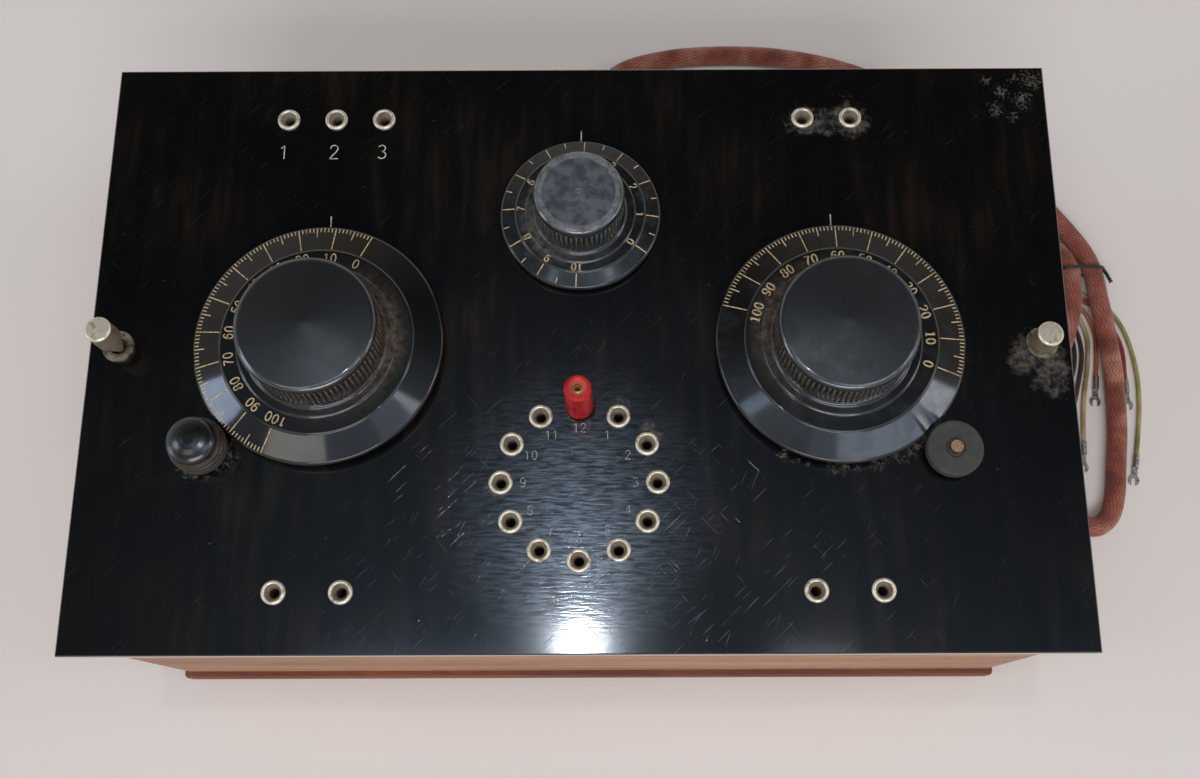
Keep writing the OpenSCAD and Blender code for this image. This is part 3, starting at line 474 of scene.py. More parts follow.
def pale_paint(tree, place):
    """Matt paint: nearly even, with a faint cloudiness."""
    cloud = add(tree, "ShaderNodeTexNoise", {"Vector": place, "Scale": marks(500), "Detail": 2})
    return {"Base Color": add(tree, "ShaderNodeValToRGB", {"Fac": cloud},
                              stops=((0.3, "#ded4ca"), (0.7, "#e2d9d0")))}


# Rolled paint scatters the light, so the table shows shadows and no reflections.
floor_mesh.materials.append(finish("pale_matt_paint", pale_paint, Roughness=0.9))

studio = bpy.data.worlds.new("studio")
studio.use_nodes = True
bpy.context.scene.world = studio
sky = studio.node_tree
direction = add(sky, "ShaderNodeTexCoord", {}, out="Generated")
height = add(sky, "ShaderNodeSeparateXYZ", {"Vector": direction}, out="Z")
dome = add(sky, "ShaderNodeValToRGB", {"Fac": height},
           stops=((0.0, "#ededec"), (0.5, "#dcdcdc"), (0.66, "#8f8270"), (0.82, "#1a1918")))
flattened = add(sky, "ShaderNodeMapping", {"Vector": direction, "Scale": (0.45, 1, 1)})
apart = add(sky, "ShaderNodeVectorMath", {0: flattened, 1: (-0.02, 0.13, 0.98)}, out="Value",
            operation="DISTANCE")
glow = add(sky, "ShaderNodeMapRange", {"Value": apart, "From Min": 0.02, "From Max": 0.3,
                                       "To Min": 1, "To Max": 0},
           interpolation_type="SMOOTHSTEP")
lit = add(sky, "ShaderNodeMix", {"Factor": glow, 6: dome, 7: linear("#66767f")}, out=2,
          data_type="RGBA", blend_type="ADD")
backdrop = sky.nodes["Background"]
sky.links.new(lit, backdrop.inputs["Color"])
backdrop.inputs["Strength"].default_value = 0.9
card_height = 2.2
lit_height = 0.1           # the soft boxes point at the set's middle, this high


def soft_box(name, place, width, depth, power, tint, shape="RECTANGLE"):
    """An area light, all in metres; a box faces the set, and a card at card_height points down."""
    light = bpy.data.lights.new(name, "AREA")
    light.shape = shape
    light.size, light.size_y = width, depth
    light.energy = power
    light.color = linear(tint)[:3]
    lamp = bpy.data.objects.new(name, light)
    lamp.location = place
    x, y, z = place
    if z < card_height:
        lamp.rotation_euler = (math.atan2(math.hypot(x, y), z - lit_height), 0,
                               math.atan2(-y, -x) - math.pi / 2)
    bpy.context.scene.collection.objects.link(lamp)


soft_box("key_box", (0.1, -1.75, 2.0), 1.7, 0.8, 30, "#f3f5ff")
soft_box("left_box", (-2.4, -0.5, 1.4), 0.8, 0.9, 8, "#f2f5ff")
soft_box("right_box", (2.4, -0.2, 1.5), 0.8, 0.9, 7, "#f4f5ff")
overhead_cards = (
    ("left_strip", -1.8, 0.1, 0.5, 0.5, 7.5, "#bccde8"),
    ("front_card_left", -0.78, -0.48, 0.66, 0.35, 2.6, "#e6e3dc"),
    ("front_card", -0.2, -0.35, 0.56, 0.5, 0.4, "#a3bad8"),
    ("middle_card", 0.21, -0.29, 0.26, 0.52, 0.5, "#b4c6de"),
    ("small_card", 0.38, -0.055, 0.14, 0.2, 0.4, "#e6ebf2"),
    ("back_card", -0.36, -0.15, 0.42, 0.36, 2, "#b4cbe6"),
    ("glint_card", -0.07, -0.26, 0.06, 0.1, 0.12, "#e8ecf0"),
    ("front_card_right", 0.85, -0.4, 1.0, 0.5, 6, "#c4d2e8"),
    ("right_strip", 1.58, 0.02, 0.46, 0.42, 4.4, "#dde3ec"),
)
for name, x, y, width, depth, power, tint in overhead_cards:
    soft_box(name, (x, y, card_height), width, depth, power, tint)
soft_box("window", (-0.072, 0.058, card_height), 0.06, 0.06, 2.8, "#e4eef8", "DISK")

# Base plank
# A sawn pine board, planed and stained red-brown. The walls are glued on it.
along_x = (0.05, 1, 1)     # a pattern drawn out twenty times along X, or along Y
along_y = (1, 0.05, 1)


def wood(pale, mid, dark, stretch, line_mm):
    """Planed wood: broad tone, long grain lines and short dark pores along the board."""
    def look(tree, place):
        along = add(tree, "ShaderNodeMapping", {"Vector": place, "Scale": stretch})
        tone = add(tree, "ShaderNodeTexNoise", {"Vector": along, "Scale": marks(25), "Detail": 3,
                                                "Distortion": 0.8})
        grain = add(tree, "ShaderNodeTexNoise", {"Vector": along, "Scale": marks(line_mm),
                                                 "Detail": 5, "Roughness": 0.65})
        pores = add(tree, "ShaderNodeTexNoise", {"Vector": along, "Scale": marks(0.4545),
                                                 "Detail": 2})
        both = add(tree, "ShaderNodeMath", {0: tone, 1: grain}, operation="ADD")
        half = add(tree, "ShaderNodeMath", {0: both, 1: 0.5}, operation="MULTIPLY")
        tint = add(tree, "ShaderNodeValToRGB", {"Fac": half},
                   stops=((0.38, dark), (0.5, mid), (0.62, pale)))
        pits = add(tree, "ShaderNodeValToRGB", {"Fac": pores},
                   stops=((0.36, "#5a4a42"), (0.46, "#ffffff")))
        shown = add(tree, "ShaderNodeMix", {"Factor": 0.5, 6: tint, 7: pits}, out=2,
                    data_type="RGBA", blend_type="MULTIPLY")
        rough = add(tree, "ShaderNodeMapRange", {"Value": grain, "To Min": 0.45, "To Max": 0.7})
        bump = add(tree, "ShaderNodeBump", {"Height": half, "Strength": 0.35,
                                            "Distance": 0.3 * MM})
        return {"Base Color": shown, "Roughness": rough, "Normal": bump}
    return look


# Stain soaks into planed pine, so the grain shows dark red in a dull surface.
dress(finish("red_stained_pine", wood("#9c5a3a", "#80452c", "#5e2e1c", along_x, 6)),
      "base_plank")

# Walls of the box
# Planed boards of a pale pinkish wood, rebated at the corners and glued. The front and rear
# boards run left to right, the side boards front to back.
wall_tones = ("#bc8f70", "#a67858", "#875a3e")

# Bare planed wood is matt, with its grain along each board.
dress(finish("planed_wood_front_and_rear", wood(*wall_tones, along_x, 5)),
      "front_wall", "rear_wall")
dress(finish("planed_wood_sides", wood(*wall_tones, along_y, 5)), "side_walls")


# Brass inserts and cable bush
# Turned brass nuts in the side walls take the thumbscrews. A moulded bush keeps the cable from
# chafing in the rear wall.
def aged_metal(bright, dull, spot, patch_mm, smooth, rough):
    """Bare metal: bright where it is rubbed, dull and spotted with age elsewhere."""
    def look(tree, place):
        age = add(tree, "ShaderNodeTexNoise", {"Vector": place, "Scale": marks(patch_mm),
                                               "Detail": 6, "Roughness": 0.6})
        tint = add(tree, "ShaderNodeValToRGB", {"Fac": age},
                   stops=((0.34, spot), (0.46, dull), (0.62, bright)))
        tarnish = add(tree, "ShaderNodeMapRange", {"Value": age, "From Min": 0.35,
                                                   "From Max": 0.65, "To Min": rough,
                                                   "To Max": smooth})
        bump = add(tree, "ShaderNodeBump", {"Height": age, "Strength": 0.15,
                                            "Distance": 0.1 * MM})
        return {"Base Color": tint, "Roughness": tarnish, "Normal": bump}
    return look


# Brass turned on a lathe is warm and bright at its edges, and brown where it was not touched.
turned_brass = finish("turned_brass", aged_metal("#d8b469", "#a98746", "#6d5430", 4, 0.22, 0.5),
                      Metallic=1.0)
dress(turned_brass, "insert_nuts")


def moulded(tone, cloudy, dirt, polish, haze, patch_mm, rubbed="#1c1f23"):
    """Moulded black resin: glossy with cloudy marks, greyed by hands, dusty where none rub it.

    The weights dust and handled of a mesh, where it has them, say where the dust and the greyed
    patches lie. Polish is the gloss that is left in the cloudy marks, and haze their roughness.
    """
    def look(tree, place):
        cloud = add(tree, "ShaderNodeTexNoise", {"Vector": place, "Scale": marks(patch_mm),
                                                 "Detail": 7, "Roughness": 0.62})
        speck = add(tree, "ShaderNodeTexNoise", {"Vector": place, "Scale": marks(0.625),
                                                 "Detail": 3})
        dust_and_painted_light = add(tree, "ShaderNodeAttribute", {}, out="Fac", attribute_name="dust_and_painted_light")
        clot = add(tree, "ShaderNodeTexNoise", {"Vector": place, "Scale": marks(2.63),
                                                "Detail": 5, "Roughness": 0.7})
        thick = add(tree, "ShaderNodeMapRange", {"Value": clot, "From Min": 0.38,
                                                 "From Max": 0.6, "To Min": 0.2})
        grit = add(tree, "ShaderNodeMapRange", {"Value": speck, "From Min": 0.3,
                                                "From Max": 0.7, "To Min": 0.55})
        amount = add(tree, "ShaderNodeMath", {0: dust_and_painted_light, 1: thick}, operation="MULTIPLY")
        amount = add(tree, "ShaderNodeMath", {0: amount, 1: grit}, operation="MULTIPLY",
                     use_clamp=True)
        tint = add(tree, "ShaderNodeValToRGB", {"Fac": cloud},
                   stops=((0.5, tone), (0.7, cloudy)))
        handled = add(tree, "ShaderNodeAttribute", {}, out="Fac", attribute_name="handled")
        even = add(tree, "ShaderNodeMapRange", {"Value": cloud, "From Min": 0.42,
                                                "From Max": 0.6, "To Min": 1,
                                                "To Max": 0.7 * polish})
        handled = add(tree, "ShaderNodeMath", {0: handled, 1: even}, operation="MULTIPLY")
        tint = add(tree, "ShaderNodeMix", {"Factor": handled, 6: tint, 7: linear(rubbed)}, out=2,
                   data_type="RGBA")
        shown = add(tree, "ShaderNodeMix", {"Factor": amount, 6: tint, 7: linear(dirt)}, out=2,
                    data_type="RGBA")
        level = add(tree, "ShaderNodeMath", {0: handled, 1: 0.5, 2: 0.22},
                    operation="MULTIPLY_ADD")
        rub = add(tree, "ShaderNodeMapRange", {"Value": cloud, "From Min": 0.42,
                                               "From Max": 0.68, "To Min": 0.3,
                                               "To Max": haze})
        rough = add(tree, "ShaderNodeMath", {0: rub, 1: amount}, operation="MAXIMUM")
        clean = add(tree, "ShaderNodeMath", {0: dust_and_painted_light, 1: -3, 2: 1}, operation="MULTIPLY_ADD",
                    use_clamp=True)
        worn = add(tree, "ShaderNodeMapRange", {"Value": cloud, "From Min": 0.46,
                                                "From Max": 0.66, "To Min": 1,
                                                "To Max": polish})
        gloss = add(tree, "ShaderNodeMath", {0: clean, 1: worn}, operation="MULTIPLY")
        bump = add(tree, "ShaderNodeBump", {"Height": speck, "Strength": 0.05,
                                            "Distance": 0.05 * MM})
        return {"Base Color": shown, "Roughness": rough, "Coat Weight": gloss, "Normal": bump,
                "Specular IOR Level": level}
    return look


# Moulded bakelite keeps the polish of its mould, dulled by age.
brown_bakelite = finish("dark_moulded_bakelite",
                        moulded("#1c1410", "#2b211b", "#8c7a66", 0.3, 0.5, 9), IOR=1.55,
                        Coat_Roughness=0.15)
dress(brown_bakelite, "cable_bush")

# Works on the baseboard
# Terminal strip, tube holders, transformer, grid leak and stiff tinned wires, as such sets have
# them. Screws hold them, and the transformer's red covered wire is wound round its middle leg.
wave_length = math.pi / 10      # of a wave pattern of scale 1

# Sawn ebonite has no polish: it is a dull black with a brown cast.
sawn_ebonite = finish("sawn_ebonite", moulded("#1a1715", "#2a2623", "#7d7468", 0.1, 0.7, 12),
                      IOR=1.55, Coat_Roughness=0.2)
dress(sawn_ebonite, "terminal_strip")
dress(brown_bakelite, "detector_holder", "driver_holder", "output_holder")


def rolled_iron(tree, place):
    """Varnished iron sheets in a pack: thin dark lines between them, and specks of rust."""
    sheets = add(tree, "ShaderNodeTexWave", {"Vector": place, "Scale": wave_length * marks(0.98),
                                             "Distortion": 0.2},
                 out="Fac", bands_direction="Y")
    rust = add(tree, "ShaderNodeTexNoise", {"Vector": place, "Scale": marks(3.85), "Detail": 5})
    tint = add(tree, "ShaderNodeValToRGB", {"Fac": rust},
               stops=((0.4, "#4b4c4f"), (0.6, "#55504a"), (0.72, "#6e4a32")))
    lines = add(tree, "ShaderNodeMix", {"Factor": sheets, 6: linear("#1b1a1a"), 7: tint}, out=2,
                data_type="RGBA")
    return {"Base Color": lines}


# Stamped iron sheets are dark and half dull under their varnish.
dress(finish("varnished_iron_sheets", rolled_iron, Metallic=0.6, Roughness=0.5),
      "transformer_core")
# Drawn wire is tinned smooth, and shines in a line along each run.
dress(finish("tinned_wire_drawn", aged_metal("#cfcac0", "#a5a096", "#7a7262", 3, 0.25, 0.5),
             Metallic=1.0), "baseboard_wiring", "panel_wiring")


def covered_wire(tone, dark, worn):
    """Wire with a thin woven cover: matt, with a fine thread over it."""
    def look(tree, place):
        thread = add(tree, "ShaderNodeTexNoise", {"Vector": place, "Scale": marks(0.385),
                                                  "Detail": 3})
        age = add(tree, "ShaderNodeTexNoise", {"Vector": place, "Scale": marks(8.33),
                                               "Detail": 4})
        tint = add(tree, "ShaderNodeValToRGB", {"Fac": age},
                   stops=((0.36, dark), (0.5, tone), (0.68, worn)))
        bump = add(tree, "ShaderNodeBump", {"Height": thread, "Strength": 0.5,
                                            "Distance": 0.15 * MM})
        return {"Base Color": tint, "Normal": bump}
    return look


transformer_at = (-148, 70, 18)
bobbin_half = (15.6, 16.8)      # the paper round the leg fills the space inside the wire
bobbin_low, bobbin_high = 0.6, 37
leg_half = (6.2, 9.2)
turn_half = (15.95, 17.25)
turn_corner = 4
turn_points = 40
turns_seen = 40
turn_pitch = 0.86
covered_r = 0.45


def round_box(turn, half_x, half_y, corner):
    """A point of a rounded rectangle for a share of a turn."""
    angle = 2 * math.pi * turn
    x = max(-half_x + corner, min(half_x - corner, 1.6 * half_x * math.cos(angle)))
    y = max(-half_y + corner, min(half_y - corner, 1.6 * half_y * math.sin(angle)))
    return x + corner * math.cos(angle), y + corner * math.sin(angle)


def box(low, high):
    """A plain block between two corners."""
    points = [(x, y, z) for z in (low[2], high[2]) for y in (low[1], high[1])
              for x in (low[0], high[0])]
    return points, [(0, 1, 3, 2), (4, 5, 7, 6), (0, 1, 5, 4), (2, 3, 7, 6), (0, 2, 6, 4),
                    (1, 3, 7, 5)]


winding_path = []
for k in range(turns_seen * turn_points):
    x, y = round_box(k / turn_points, *turn_half, turn_corner)
    winding_path.append(beside(transformer_at, x, y, 1.6 + turn_pitch * k / turn_points))
bx, by = bobbin_half
lx, ly = leg_half
paper = [box(beside(transformer_at, left, front, bobbin_low),
             beside(transformer_at, right, back, bobbin_high))
         for left, right, front, back in ((-bx, -lx, -by, by), (lx, bx, -by, by),
                                          (-lx, lx, ly, by), (-lx, lx, -by, -ly))]
# A cotton cover makes the wire matt; its thread is drawn as coarse as it needs to show.
red_wire = finish("red_cotton_covered_wire", covered_wire("#9a3426", "#6e2118", "#b95a48"),
                  Roughness=0.85)
piece("transformer_coil", joined(swept(winding_path, lambda turn, length: covered_r, 6), *paper),
      red_wire, "cabinet", 60, ["transformer_winding"])


def lathe(profile, centre, steps=96, wave=None):
    """A profile of (radius, height) points turned round centre; wave changes the radii."""
    points, rows, faces = [], [], []
    for r, z in profile:
        count = 1 if r < 1e-6 else steps
        rows.append(range(len(points), len(points) + count))
        for k in range(count):
            turn = 2 * math.pi * k / steps
            here = r + (wave(k / steps, z) if wave and count > 1 else 0)
            points.append((centre[0] + here * math.cos(turn), centre[1] + here * math.sin(turn),
                           centre[2] + z))
    for low, high in zip(rows, [*rows[1:], rows[0]]):
        for k in range(steps):
            n = (k + 1) % steps
            corners = dict.fromkeys((low[k % len(low)], low[n % len(low)],
                                     high[n % len(high)], high[k % len(high)]))
            if len(corners) > 2:
                faces.append(tuple(corners))
    return points, faces


def eased(profile, size, steps=3):
    """The profile with rounded corners; its two ends stay.

    A point a little outside each corner keeps the flats beside it flat when they are shaded.
    """
    beyond = 1.08
    out = [profile[0]]
    for a, b, c in zip(profile, profile[1:], profile[2:]):
        into = min(size / math.dist(a, b), 0.45)
        onto = min(size / math.dist(b, c), 0.45)
        p = [v + (u - v) * into for u, v in zip(a, b)]
        q = [v + (u - v) * onto for u, v in zip(c, b)]
        out.append([v + (u - v) * into * beyond for u, v in zip(a, b)])
        for k in range(steps + 1):
            t = k / steps
            out.append([(1 - t) ** 2 * u + 2 * t * (1 - t) * v + t * t * w
                        for u, v, w in zip(p, b, q)])
        out.append([v + (u - v) * onto * beyond for u, v in zip(c, b)])
    return out + [profile[-1]]


def laid_along_x(profile, start):
    """A profile turned round an axis along X, with its foot at start."""
    points, faces = lathe(profile, (0, 0, 0), 32)
    return [beside(start, z, y, -x) for x, y, z in points], faces


leak_at = (-62, 26, 10)
leak_block = (22, 6, 5)    # half its length and width, and its height
leak_clip = (18, 1, 3)     # half the clips' distance, thickness and width
leak_clip_top = 10.1       # where the caps lie in the clips
leak_axis = 13             # height of the glass tube's axis over the foot of the block
leak_tube_start = -17
leak_cap_starts = (-21, 15)
leak_glass_outline = [(2.2, 0), (2.7, 0), (2.7, 34), (2.2, 34)]
leak_cap_outline = [(0, 0), (3, 0), (3, 6), (0, 6)]
long, wide, high = leak_block
piece("grid_leak_block", box(beside(leak_at, -long, -wide, 0), beside(leak_at, long, wide, high)),
      sawn_ebonite, "cabinet", 35, ["grid_leak"])
out, thick, wide = leak_clip
clips = [box(beside(leak_at, side * out - thick, -wide, high),
             beside(leak_at, side * out + thick, wide, leak_clip_top)) for side in (-1, 1)]
piece("grid_leak_clips", joined(*clips), turned_brass, "cabinet")


def clear_glass(tree, place):
    """Old glass: faint cloudiness that dulls its polish in places."""
    film = add(tree, "ShaderNodeTexNoise", {"Vector": place, "Scale": marks(11.1), "Detail": 4})
    return {"Roughness": add(tree, "ShaderNodeMapRange", {"Value": film, "From Min": 0.4,
                                                          "From Max": 0.7, "To Min": 0.02,
                                                          "To Max": 0.2})}


# Glass drawn into a tube is clear and a little yellow.
leak_glass = finish("drawn_glass_tube", clear_glass, Base_Color=linear("#efe6cc"),
                    Transmission_Weight=0.9, IOR=1.5)
piece("grid_leak_tube",
      laid_along_x(leak_glass_outline, beside(leak_at, leak_tube_start, 0, leak_axis)),
      leak_glass, "cabinet")
caps = [laid_along_x(eased(leak_cap_outline, 0.6), beside(leak_at, start, 0, leak_axis))
        for start in leak_cap_starts]
piece("grid_leak_caps", joined(*caps), turned_brass, "cabinet")

# Plug-in tubes
# Each tube has a moulded base with four pins and a pumped glass bulb. A silvery getter film is
# on the top of the glass, and the anode stands on a glass stem.
tube_places = {"detector": (-62, 70), "driver": (62, 70), "output": (148, 70)}
bulb_foot = 44
bulb_widest = 46           # height over its foot where the bulb is widest
bulb_outline = [(12.6, 0), (12.8, 4), (13.6, 12), (15.2, 20), (17.4, 28), (19.2, 36), (20, 46),
                (19.3, 51), (17.3, 55.2), (14.1, 58.9), (10, 61.7), (5.2, 63.3), (2.2, 63.9)]
bulb_tip = [(1.5, 64.6), (0, 66)]
glass_wall = 0.7
inner_top = (0, 62.8)
anode_outline = [(4.4, 22), (5, 22), (5, 40), (4.4, 40)]
stem_outline = [(0, 1), (6, 1), (3.4, 10), (2.6, 20), (0, 20)]
support_route = ((2, 14), (4, 20), (5.3, 24), (5.3, 46))
support_r = 0.4
film_foot, film_full = 97, 104      # heights between which the getter film grows to full
film_wander = 12


def getter_glass(tree, place):
    """Clear glass that is silvered at its top by the getter."""
    up = add(tree, "ShaderNodeSeparateXYZ", {"Vector": place}, out="Z")
    edge = add(tree, "ShaderNodeTexNoise", {"Vector": place, "Scale": marks(8.33), "Detail": 3})
    high = add(tree, "ShaderNodeMath", {0: edge, 1: film_wander * MM, 2: up},
               operation="MULTIPLY_ADD")
    film = add(tree, "ShaderNodeMapRange", {"Value": high, "From Min": film_foot * MM,
                                            "From Max": film_full * MM})
    clear = add(tree, "ShaderNodeMath", {0: 1, 1: film}, operation="SUBTRACT")
    tint = add(tree, "ShaderNodeValToRGB", {"Fac": film}, stops=((0, "#f4f6f4"), (1, "#8f8a84")))
    return {"Transmission Weight": clear, "Metallic": film, "Base Color": tint}


# Blown glass is clear and smooth, and the getter makes it a mirror at the top.
bulb_glass = finish("blown_glass", getter_glass, Roughness=0.04, IOR=1.5)
# Nickel sheet that was folded and fired is a dull grey.
anode_metal = finish("nickel_sheet", aged_metal("#8e8b86", "#6e6b66", "#4a4744", 3, 0.35, 0.55),
                     Metallic=1.0)
# The bases are moulded in brown-black bakelite, with the mould's polish.
base_bakelite = finish("tube_base_bakelite", moulded("#1d1613", "#2c2420", "#857565", 0.3, 0.5, 7),
                       IOR=1.55, Coat_Roughness=0.15)
dress(base_bakelite, "detector_base", "driver_base", "output_base")
for tube, (x, y) in tube_places.items():
    foot = (x, y, bulb_foot)
    outer = smooth_route(bulb_outline, 4) + bulb_tip
    inner = [(max(r - glass_wall, 0), z - (glass_wall if z > bulb_widest else 0))
             for r, z in reversed(smooth_route(bulb_outline[:-1], 4))]
    piece(f"{tube}_blown_bulb", lathe([*outer, inner_top, *inner], foot, 64),
          bulb_glass, f"{tube}_tube", 40, [f"{tube}_bulb"])
    works = [lathe(anode_outline, foot, 32), lathe(eased(stem_outline, 1), foot, 24)]
    for side in (-1, 1):
        works.append(swept([beside(foot, side * reach, 0, up) for reach, up in support_route],
                           lambda turn, length: support_r, 8))
    piece(f"{tube}_electrodes", joined(*works), anode_metal, f"{tube}_tube")

# Panel
# A sheet of black ebonite, sawn and polished. It has brown streaks from the light, hairline
# scratches painted pale round the window lamp's reflection as a glint, a wiped place inside the
# ring of sockets, dust under the dials, crumbs of dirt, and grey spots of corrosion round the
# earth sockets and the right thumbscrew.
panel_top = 150
ring_centre = (0, -58)
station_centre = (-105, -2)
volume_centre = (105, -2)
station_drive_centre = (-150.125, -44.079)
volume_drive_centre = (147.86, -46.383)
# The scratches' painted glint is strongest round this place, near the window lamp's reflection.
scratch_glint_at = (20, -110, panel_top)
wiped_at = (0, -67, panel_top)
scratch_lines = (               # direction in radians, width, and how few of them show
    (0.75, 0.526, 0.75), (-0.8, 0.435, 0.72), (2.3, 0.588, 0.76), (-0.4, 0.476, 0.75),
)
scratch_length = 16.7
dirty_spots = [                 # each with its place and its reach
    ((94.8, 100.5), 6), ((115.2, 101), 7), ((104, 99.5), 5), ((186, -6), 8), ((180, -9), 5),
    ((190, -14), 7), ((-34, -60), 3), ((17, -27), 4), ((28, -38), 4),
]
# Crumbs of dirt lie in the rear right corner, and in arcs round the volume dial and the left
# knob.
crumb_spots = [
    ((195, 119), 3), ((187, 120), 1.6), ((181, 113), 2), ((190, 109), 2.4), ((178, 105), 2.2),
    ((185, 101), 1.6), ((175, 119), 1.4),
]
crumb_rings = (                 # centre, radius, and each crumb's degrees and reach
    (volume_centre, 51, ((-118, 1.6), (-112, 1.2), (-106, 0.8), (-94, 1.6), (-90, 1.3),
                         (-84, 0.9), (-76, 1.8), (-71, 1.2), (-65, 1.6), (-60, 2.2), (-55, 1.6),
                         (-50, 2.4), (-45, 3), (-40, 2.6))),
    (station_drive_centre, 11, ((-140, 1), (-118, 1.6), (-98, 1.2), (-74, 1.8), (-52, 1.3),
                                (-28, 2), (-8, 2.2), (12, 1.8))),
)
for centre, r, crumbs in crumb_rings:
    crumb_spots += [(round_about(centre, r, degrees), reach) for degrees, reach in crumbs]


def patch(tree, place, spot, reach, ragged):
    """How strongly a ragged spot of dirt shows; spot and reach are in millimetres."""
    near = add(tree, "ShaderNodeVectorMath", {0: place, 1: metres((*spot, panel_top))},
               out="Value", operation="DISTANCE")
    edge = add(tree, "ShaderNodeMath", {0: ragged, 1: -reach * 2.4 * MM, 2: near},
               operation="MULTIPLY_ADD")
    return add(tree, "ShaderNodeMapRange", {"Value": edge, "From Min": -0.9 * reach * MM,
                                            "From Max": 0.2 * reach * MM, "To Min": 0.85,
                                            "To Max": 0})


def fading(tree, place, centre, near, far, least):
    """1 within near of a centre, less further out, and least beyond far; all in millimetres."""
    away = add(tree, "ShaderNodeVectorMath", {0: place, 1: metres(centre)}, out="Value",
               operation="DISTANCE")
    return add(tree, "ShaderNodeMapRange", {"Value": away, "From Min": near * MM,
                                            "From Max": far * MM, "To Min": 1,
                                            "To Max": least})


def scratches(tree, place):
    """Hairline scratches in four directions, drawn a little wider than real so that they show."""
    lines = 0.0
    for turn, width, least in scratch_lines:
        laid = add(tree, "ShaderNodeMapping", {"Vector": place, "Rotation": (0, 0, turn),
                                               "Scale": (width * MM, scratch_length * MM, 1)},
                   vector_type="TEXTURE")
        hair = add(tree, "ShaderNodeTexNoise", {"Vector": laid, "Scale": 1, "Detail": 1})
        line = add(tree, "ShaderNodeMapRange", {"Value": hair, "From Min": least,
                                                "From Max": least + 0.06})
        lines = add(tree, "ShaderNodeMath", {0: lines, 1: line}, operation="MAXIMUM")
    # The scratches are strongest round the window lamp's reflection, where their pale colour is
    # painted glint.
    handled = fading(tree, place, scratch_glint_at, 30, 130, 0.12)
    return add(tree, "ShaderNodeMath", {0: lines, 1: handled}, operation="MULTIPLY")


def polished_ebonite(tree, place):
    """Polished ebonite: brown streaks, scratches, wiped strokes, specks, crumbs, dusty spots.

    The strokes of wiping inside the ring are drawn coarser than real, so that they show.
    """
    streaky = add(tree, "ShaderNodeMapping", {"Vector": place,
                                              "Scale": (marks(5.88), marks(45.5), 1)})
    streak = add(tree, "ShaderNodeTexNoise", {"Vector": streaky, "Scale": 1, "Detail": 3})
    broad = add(tree, "ShaderNodeTexNoise", {"Vector": place, "Scale": marks(71.4),
                                             "Detail": 3})
    ragged = add(tree, "ShaderNodeTexNoise", {"Vector": place, "Scale": marks(4.35),
                                              "Detail": 6, "Roughness": 0.7})
    specks = add(tree, "ShaderNodeTexNoise", {"Vector": place, "Scale": marks(2.38),
                                              "Detail": 2})
    brown = add(tree, "ShaderNodeMath", {0: streak, 1: broad}, operation="MULTIPLY")
    tint = add(tree, "ShaderNodeValToRGB", {"Fac": brown},
               stops=((0.2, "#080707"), (0.28, "#0e0b08"), (0.42, "#1d150e")))
    lines = scratches(tree, place)
    wiped = fading(tree, place, wiped_at, 22, 60, 0.06)
    strokes = add(tree, "ShaderNodeMapping", {"Vector": place,
                                              "Scale": (marks(6.67), marks(1), 1)})
    strokes = add(tree, "ShaderNodeTexNoise", {"Vector": strokes, "Scale": 1, "Detail": 2,
                                               "Distortion": 0.4})
    rubbed = add(tree, "ShaderNodeMath", {0: strokes, 1: wiped}, operation="MULTIPLY")
    dirt = add(tree, "ShaderNodeMapRange", {"Value": specks, "From Min": 0.75,
                                            "From Max": 0.78, "To Max": 0.5})
    crumbs = add(tree, "ShaderNodeTexNoise", {"Vector": place, "Scale": marks(1.176),
                                              "Detail": 4, "Roughness": 0.7})
    crumbs = add(tree, "ShaderNodeMapRange", {"Value": crumbs, "From Min": 0.42,
                                              "From Max": 0.62})
    for spots, broken in ((dirty_spots, ragged), (crumb_spots, crumbs)):
        for spot, reach in spots:
            near = patch(tree, place, spot, reach, broken)
            dirt = add(tree, "ShaderNodeMath", {0: dirt, 1: near}, operation="MAXIMUM",
                       use_clamp=True)
    grey = add(tree, "ShaderNodeValToRGB", {"Fac": ragged},
               stops=((0.42, "#1f1a16"), (0.66, "#70675a")))
    dusty = add(tree, "ShaderNodeMix", {"Factor": dirt, 6: tint, 7: grey}, out=2,
                data_type="RGBA")
    # Painted glint: the scratches are painted pale and bluish, mostly round the window lamp's
    # reflection.
    pale_scratch_glint = add(tree, "ShaderNodeMath", {0: lines, 1: 0.3}, operation="MULTIPLY")
    shown = add(tree, "ShaderNodeMix", {"Factor": pale_scratch_glint, 6: dusty, 7: linear("#a8aab0")}, out=2,
                data_type="RGBA")
    haze = add(tree, "ShaderNodeMapRange", {"Value": broad, "From Min": 0.3, "From Max": 0.7,
                                            "To Min": 0.2, "To Max": 0.24})
    scuffed = add(tree, "ShaderNodeMath", {0: lines, 1: 0.3, 2: haze}, operation="MULTIPLY_ADD")
    rough = add(tree, "ShaderNodeMath", {0: scuffed, 1: dirt}, operation="MAXIMUM",
                use_clamp=True)
    gloss = add(tree, "ShaderNodeMath", {0: 1, 1: dirt}, operation="SUBTRACT")
    across = add(tree, "ShaderNodeTangent", {}, direction_type="RADIAL", axis="X")
    shine = add(tree, "ShaderNodeMapRange", {"Value": strokes, "From Min": 0.35,
                                             "From Max": 0.65, "To Min": 0.3, "To Max": 1.3})
    shine = add(tree, "ShaderNodeMix", {"Factor": wiped, 2: 0.2, 3: shine})
    cut = add(tree, "ShaderNodeMath", {0: lines, 1: -0.7, 2: rubbed}, operation="MULTIPLY_ADD")
    bump = add(tree, "ShaderNodeBump", {"Height": cut, "Strength": 1, "Distance": 0.03 * MM})
    return {"Base Color": shown, "Roughness": rough, "Coat Weight": gloss, "Normal": bump,
            "Coat Normal": bump, "Tangent": across, "Specular IOR Level": shine}


# Polishing in one direction draws the light out into a soft column, and wax gives a clear coat.
dress(finish("polished_ebonite", polished_ebonite, Anisotropic=0.63,
             Specular_Tint=linear("#d6e2f4"), Coat_Roughness=0.09, Coat_IOR=1.45), "ebonite_panel")

